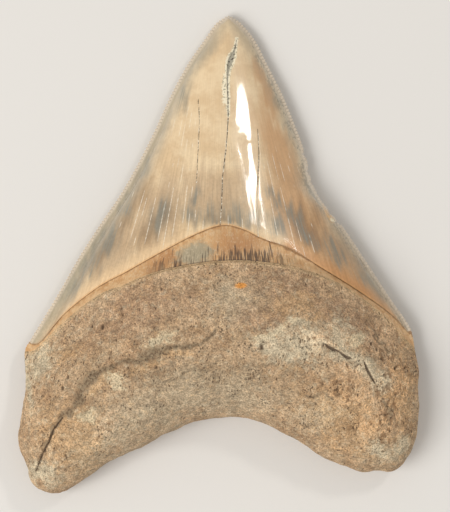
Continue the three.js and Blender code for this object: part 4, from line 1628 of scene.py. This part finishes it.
def climbing_streaks(tree, colour, fine, below_lip):
    low = stored(tree, "above_root_line")
    wide = ramp(tree, plus(tree, low, below_lip), *STREAKED_FROM)
    heights = group_node(tree, streaks, width=0.7, length=40.0, shift=7.0)
    top = times(tree, ramp(tree, heights, 0.3, 0.75), HIGHEST_STREAK)
    within = fall(tree, minus(tree, low, top), 0.0, 0.8)
    there = plus(tree, fine, times(tree, stored(tree, "neck_streaks"), 0.16))
    streak = times(tree, times(tree, within, ramp(tree, there, 0.56, 0.64)), wide)
    colour = cover(tree, colour, streak, 0.85, NECK_DARK)
    # Painted shadow: a dark line along the lower edge, at the foot of the root's ledge
    return cover(tree, colour, fall(tree, low, *FOOT_SHADOW), times(tree, wide, 0.6), NECK_DARK)


def make_neck():
    material, tree, shader = new_material("satin_neck_band", Coat_Weight=0.25, Coat_Roughness=0.3, IOR=1.5)
    fine = group_node(tree, streaks, width=0.22, length=5.0)
    mottle = group_node(tree, grain, size=1.2, detail=5.0)
    below_lip = times(tree, stored(tree, "above_chevron"), -1.0)
    colour = neck_ground(tree, mottle)
    colour = climbing_streaks(tree, colour, fine, below_lip)
    frayed = plus(tree, below_lip, times(tree, minus(tree, mottle, 0.5), 0.5))
    colour = cover(tree, colour, fall(tree, frayed, *LINE_WIDTH), 0.6, NECK_LINE)
    colour = shaded(tree, colour, scale_to(tree, fine, 0.78, 1.22))
    height = plus(tree, fine, times(tree, mottle, 0.6))
    roughness = scale_to(tree, mottle, 0.4, 0.65)
    finish_material(tree, shader, colour, roughness, height, NECK_BUMP)
    return material


neck_material = make_neck()
print(neck_material.name, "has", len(neck_material.node_tree.nodes), "nodes")


# %% [markdown]
# ## Root
#
# The root is bone turned to stone: dull, sandy to the touch, and mottled. The stains lie over a
# grey-brown ground. Three sizes of grain then lighten and darken both: sand, coarse grain and patches.
# The sand is finer than the mesh, so it isn't carved: it shows as colour, and as bump in the light.

# %% The root's colours
ROOT_GROUND = paint(188, 160, 128)
ROOT_DEEP = paint(168, 137, 106)
ROOT_MAUVE = paint(168, 136, 108)
ROOT_GREY = paint(188, 171, 144)
ROOT_PALE = paint(204, 190, 162)
ROOT_CREAM = paint(222, 206, 172)
ROOT_OCHRE = paint(202, 164, 120)
ROOT_SPOT = paint(234, 156, 70)
DIRT = paint(78, 62, 50)
GROOVE_GREY = paint(138, 124, 102)
GROOVE_DARK = paint(84, 71, 57)
OCHRE_GRAINS = paint(208, 168, 112)
CREVICE = paint(120, 88, 60)
LEDGE = paint(216, 186, 144)
# Painted light: the tint that makes the root lighter, mostly on its right side
PAINTED_LIGHTENING = (1.42, 1.36, 1.32, 1)
# Each layer: stain, colour, size and strength of the raggedness, softness, how strongly it covers
ROOT_LAYERS = [
    ("grey", ROOT_GREY, 2.2, 0.9, 0.6, 0.75),
    ("mauve", ROOT_MAUVE, 2.2, 0.9, 0.6, 0.7),
    ("ochre", ROOT_OCHRE, 1.0, 1.4, 0.5, 0.5),
    ("cream", ROOT_CREAM, 0.7, 1.4, 0.35, 0.7),
    ("pale", ROOT_PALE, 1.1, 1.5, 0.6, 0.85),
    ("spot", ROOT_SPOT, 0.5, 0.4, 0.25, 0.85),
]
print(len(ROOT_LAYERS), "stains over the root's ground")


# %% Root: ground, stains and grain
def root_ground(tree):
    clouds = group_node(tree, grain, size=5.0, detail=5.0)
    colour = mix(tree, ramp(tree, clouds, 0.35, 0.62), ROOT_DEEP, ROOT_GROUND)
    for name, stain, size, raggedness, softness, strength in ROOT_LAYERS:
        mask = stain_mask(tree, name, size, raggedness, softness)
        colour = cover(tree, colour, mask, strength, stain)
    return colour


def root_grain(tree, colour, sand, coarse):
    warm = ramp(tree, group_node(tree, grain, size=0.6, detail=5.0), 0.55, 0.7)
    colour = cover(tree, colour, warm, 0.3, OCHRE_GRAINS)
    patches = group_node(tree, grain, size=2.4, detail=3.0)
    # Each grain: its noise, the noise's low and high end, and the shade at those ends
    grains = [
        (sand, 0.34, 0.66, 0.68, 1.32),
        (coarse, 0.3, 0.7, 0.82, 1.18),
        (patches, 0.35, 0.65, 0.93, 1.07),
    ]
    for value, low, high, dark, light in grains:
        colour = shaded(tree, colour, scale_to(tree, ramp(tree, value, low, high), dark, light))
    return colour


# %% [markdown]
# ### Wear, dirt and painted light on the root
#
# The ledge below the neck band is worn paler. One part is dusky. Another, mostly on the right, is made
# lighter with painted light, and there the crevices between the grains stay brown. Dirt fills the long
# groove, the sharp cracks, and the pores and specks, which are open vessels.

# %% Root: ledge, dusky parts, painted light, groove and dirt
WORN_LEDGE = (0.2, 0.75)            # full up to the first distance below the root line
ROOT_BUMP = 0.2


def worn_ledge(tree, colour, coarse_push):
    below_ledge = times(tree, stored(tree, "above_root_line"), -1.0)
    frayed = plus(tree, below_ledge, times(tree, coarse_push, 2.0))
    return cover(tree, colour, fall(tree, frayed, *WORN_LEDGE), 0.6, LEDGE)


def dusky_and_painted_light(tree, colour, coarse_push):
    dusky = ramp(tree, plus(tree, stored(tree, "dusky"), times(tree, coarse_push, 0.8)), 0.0, 1.0)
    colour = group_node(tree, dusk, colour=colour, amount=dusky, strength=0.3)
    # Painted light: the root is made lighter, mostly on its right side
    amount = stored(tree, "painted_light")
    painted_light = ramp(tree, plus(tree, amount, times(tree, coarse_push, 1.2)), 0.0, 1.0)
    colour = cover(tree, colour, painted_light, 0.6, tint(tree, colour, PAINTED_LIGHTENING))
    crevices = group_node(tree, specks, size=0.8, cut=0.57, clustering=0.7)
    crevices = times(tree, crevices, ramp(tree, amount, 0.1, 0.6))
    return cover(tree, colour, crevices, 0.55, CREVICE)


def long_groove(tree, colour, sand, coarse_push):
    crack = stored(tree, "crack")
    grains = plus(tree, minus(tree, sand, 0.5), coarse_push)
    groove = ramp(tree, plus(tree, crack, times(tree, grains, 2.6)), 0.4, 0.54)
    groove = times(tree, groove, ramp(tree, crack, 0.0, 0.15))
    grit = ramp(tree, group_node(tree, grain, size=0.5, detail=3.0), 0.45, 0.55)
    return cover(tree, colour, groove, 0.7, mix(tree, grit, GROOVE_DARK, GROOVE_GREY))


def root_specks(tree):
    """Fewer and weaker in the mauve parts."""
    dots = group_node(tree, specks, size=0.36, cut=0.65, clustering=0.45)
    return times(tree, dots, scale_to(tree, ramp(tree, stored(tree, "mauve"), 0.0, 0.6), 1.0, 0.3))


def root_dirt(tree, colour, dots):
    dirt = calc(tree, "MAXIMUM", times(tree, dots, 0.8), ramp(tree, stored(tree, "pore"), 0.2, 0.9))
    dirt = calc(tree, "MAXIMUM", dirt, ramp(tree, stored(tree, "sharp_crack"), 0.1, 0.6))
    return cover(tree, colour, dirt, 0.85, DIRT)


# %% Root: the whole material
def make_root():
    material, tree, shader = new_material("matt_root", IOR=1.45, Specular_IOR_Level=0.25)
    sand = group_node(tree, grain, size=0.28, detail=2.0)
    coarse = group_node(tree, grain, size=1.2, detail=5.0)
    coarse_push = minus(tree, coarse, 0.5)
    colour = root_ground(tree)
    colour = worn_ledge(tree, colour, coarse_push)
    colour = root_grain(tree, colour, sand, coarse)
    colour = dusky_and_painted_light(tree, colour, coarse_push)
    colour = long_groove(tree, colour, sand, coarse_push)
    dots = root_specks(tree)
    colour = root_dirt(tree, colour, dots)
    height = plus(tree, times(tree, sand, 0.6), times(tree, coarse, 0.6))
    height = minus(tree, height, times(tree, dots, 0.6))
    roughness = scale_to(tree, coarse, 0.7, 0.95)
    finish_material(tree, shader, colour, roughness, height, ROOT_BUMP)
    return material


root_material = make_root()
print(root_material.name, "has", len(root_material.node_tree.nodes), "nodes")

# %% [markdown]
# ## The finished piece
#
# The mesh gets its three materials in the order of its skins, takes the solid's place, and rides on the
# only body.

# %% Dress the tooth and hand it to the frame
for material in (enamel_material, neck_material, root_material):
    tooth_mesh.materials.append(material)
print("materials", [material.name for material in tooth_mesh.materials])
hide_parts("tooth")
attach(tooth, "root")
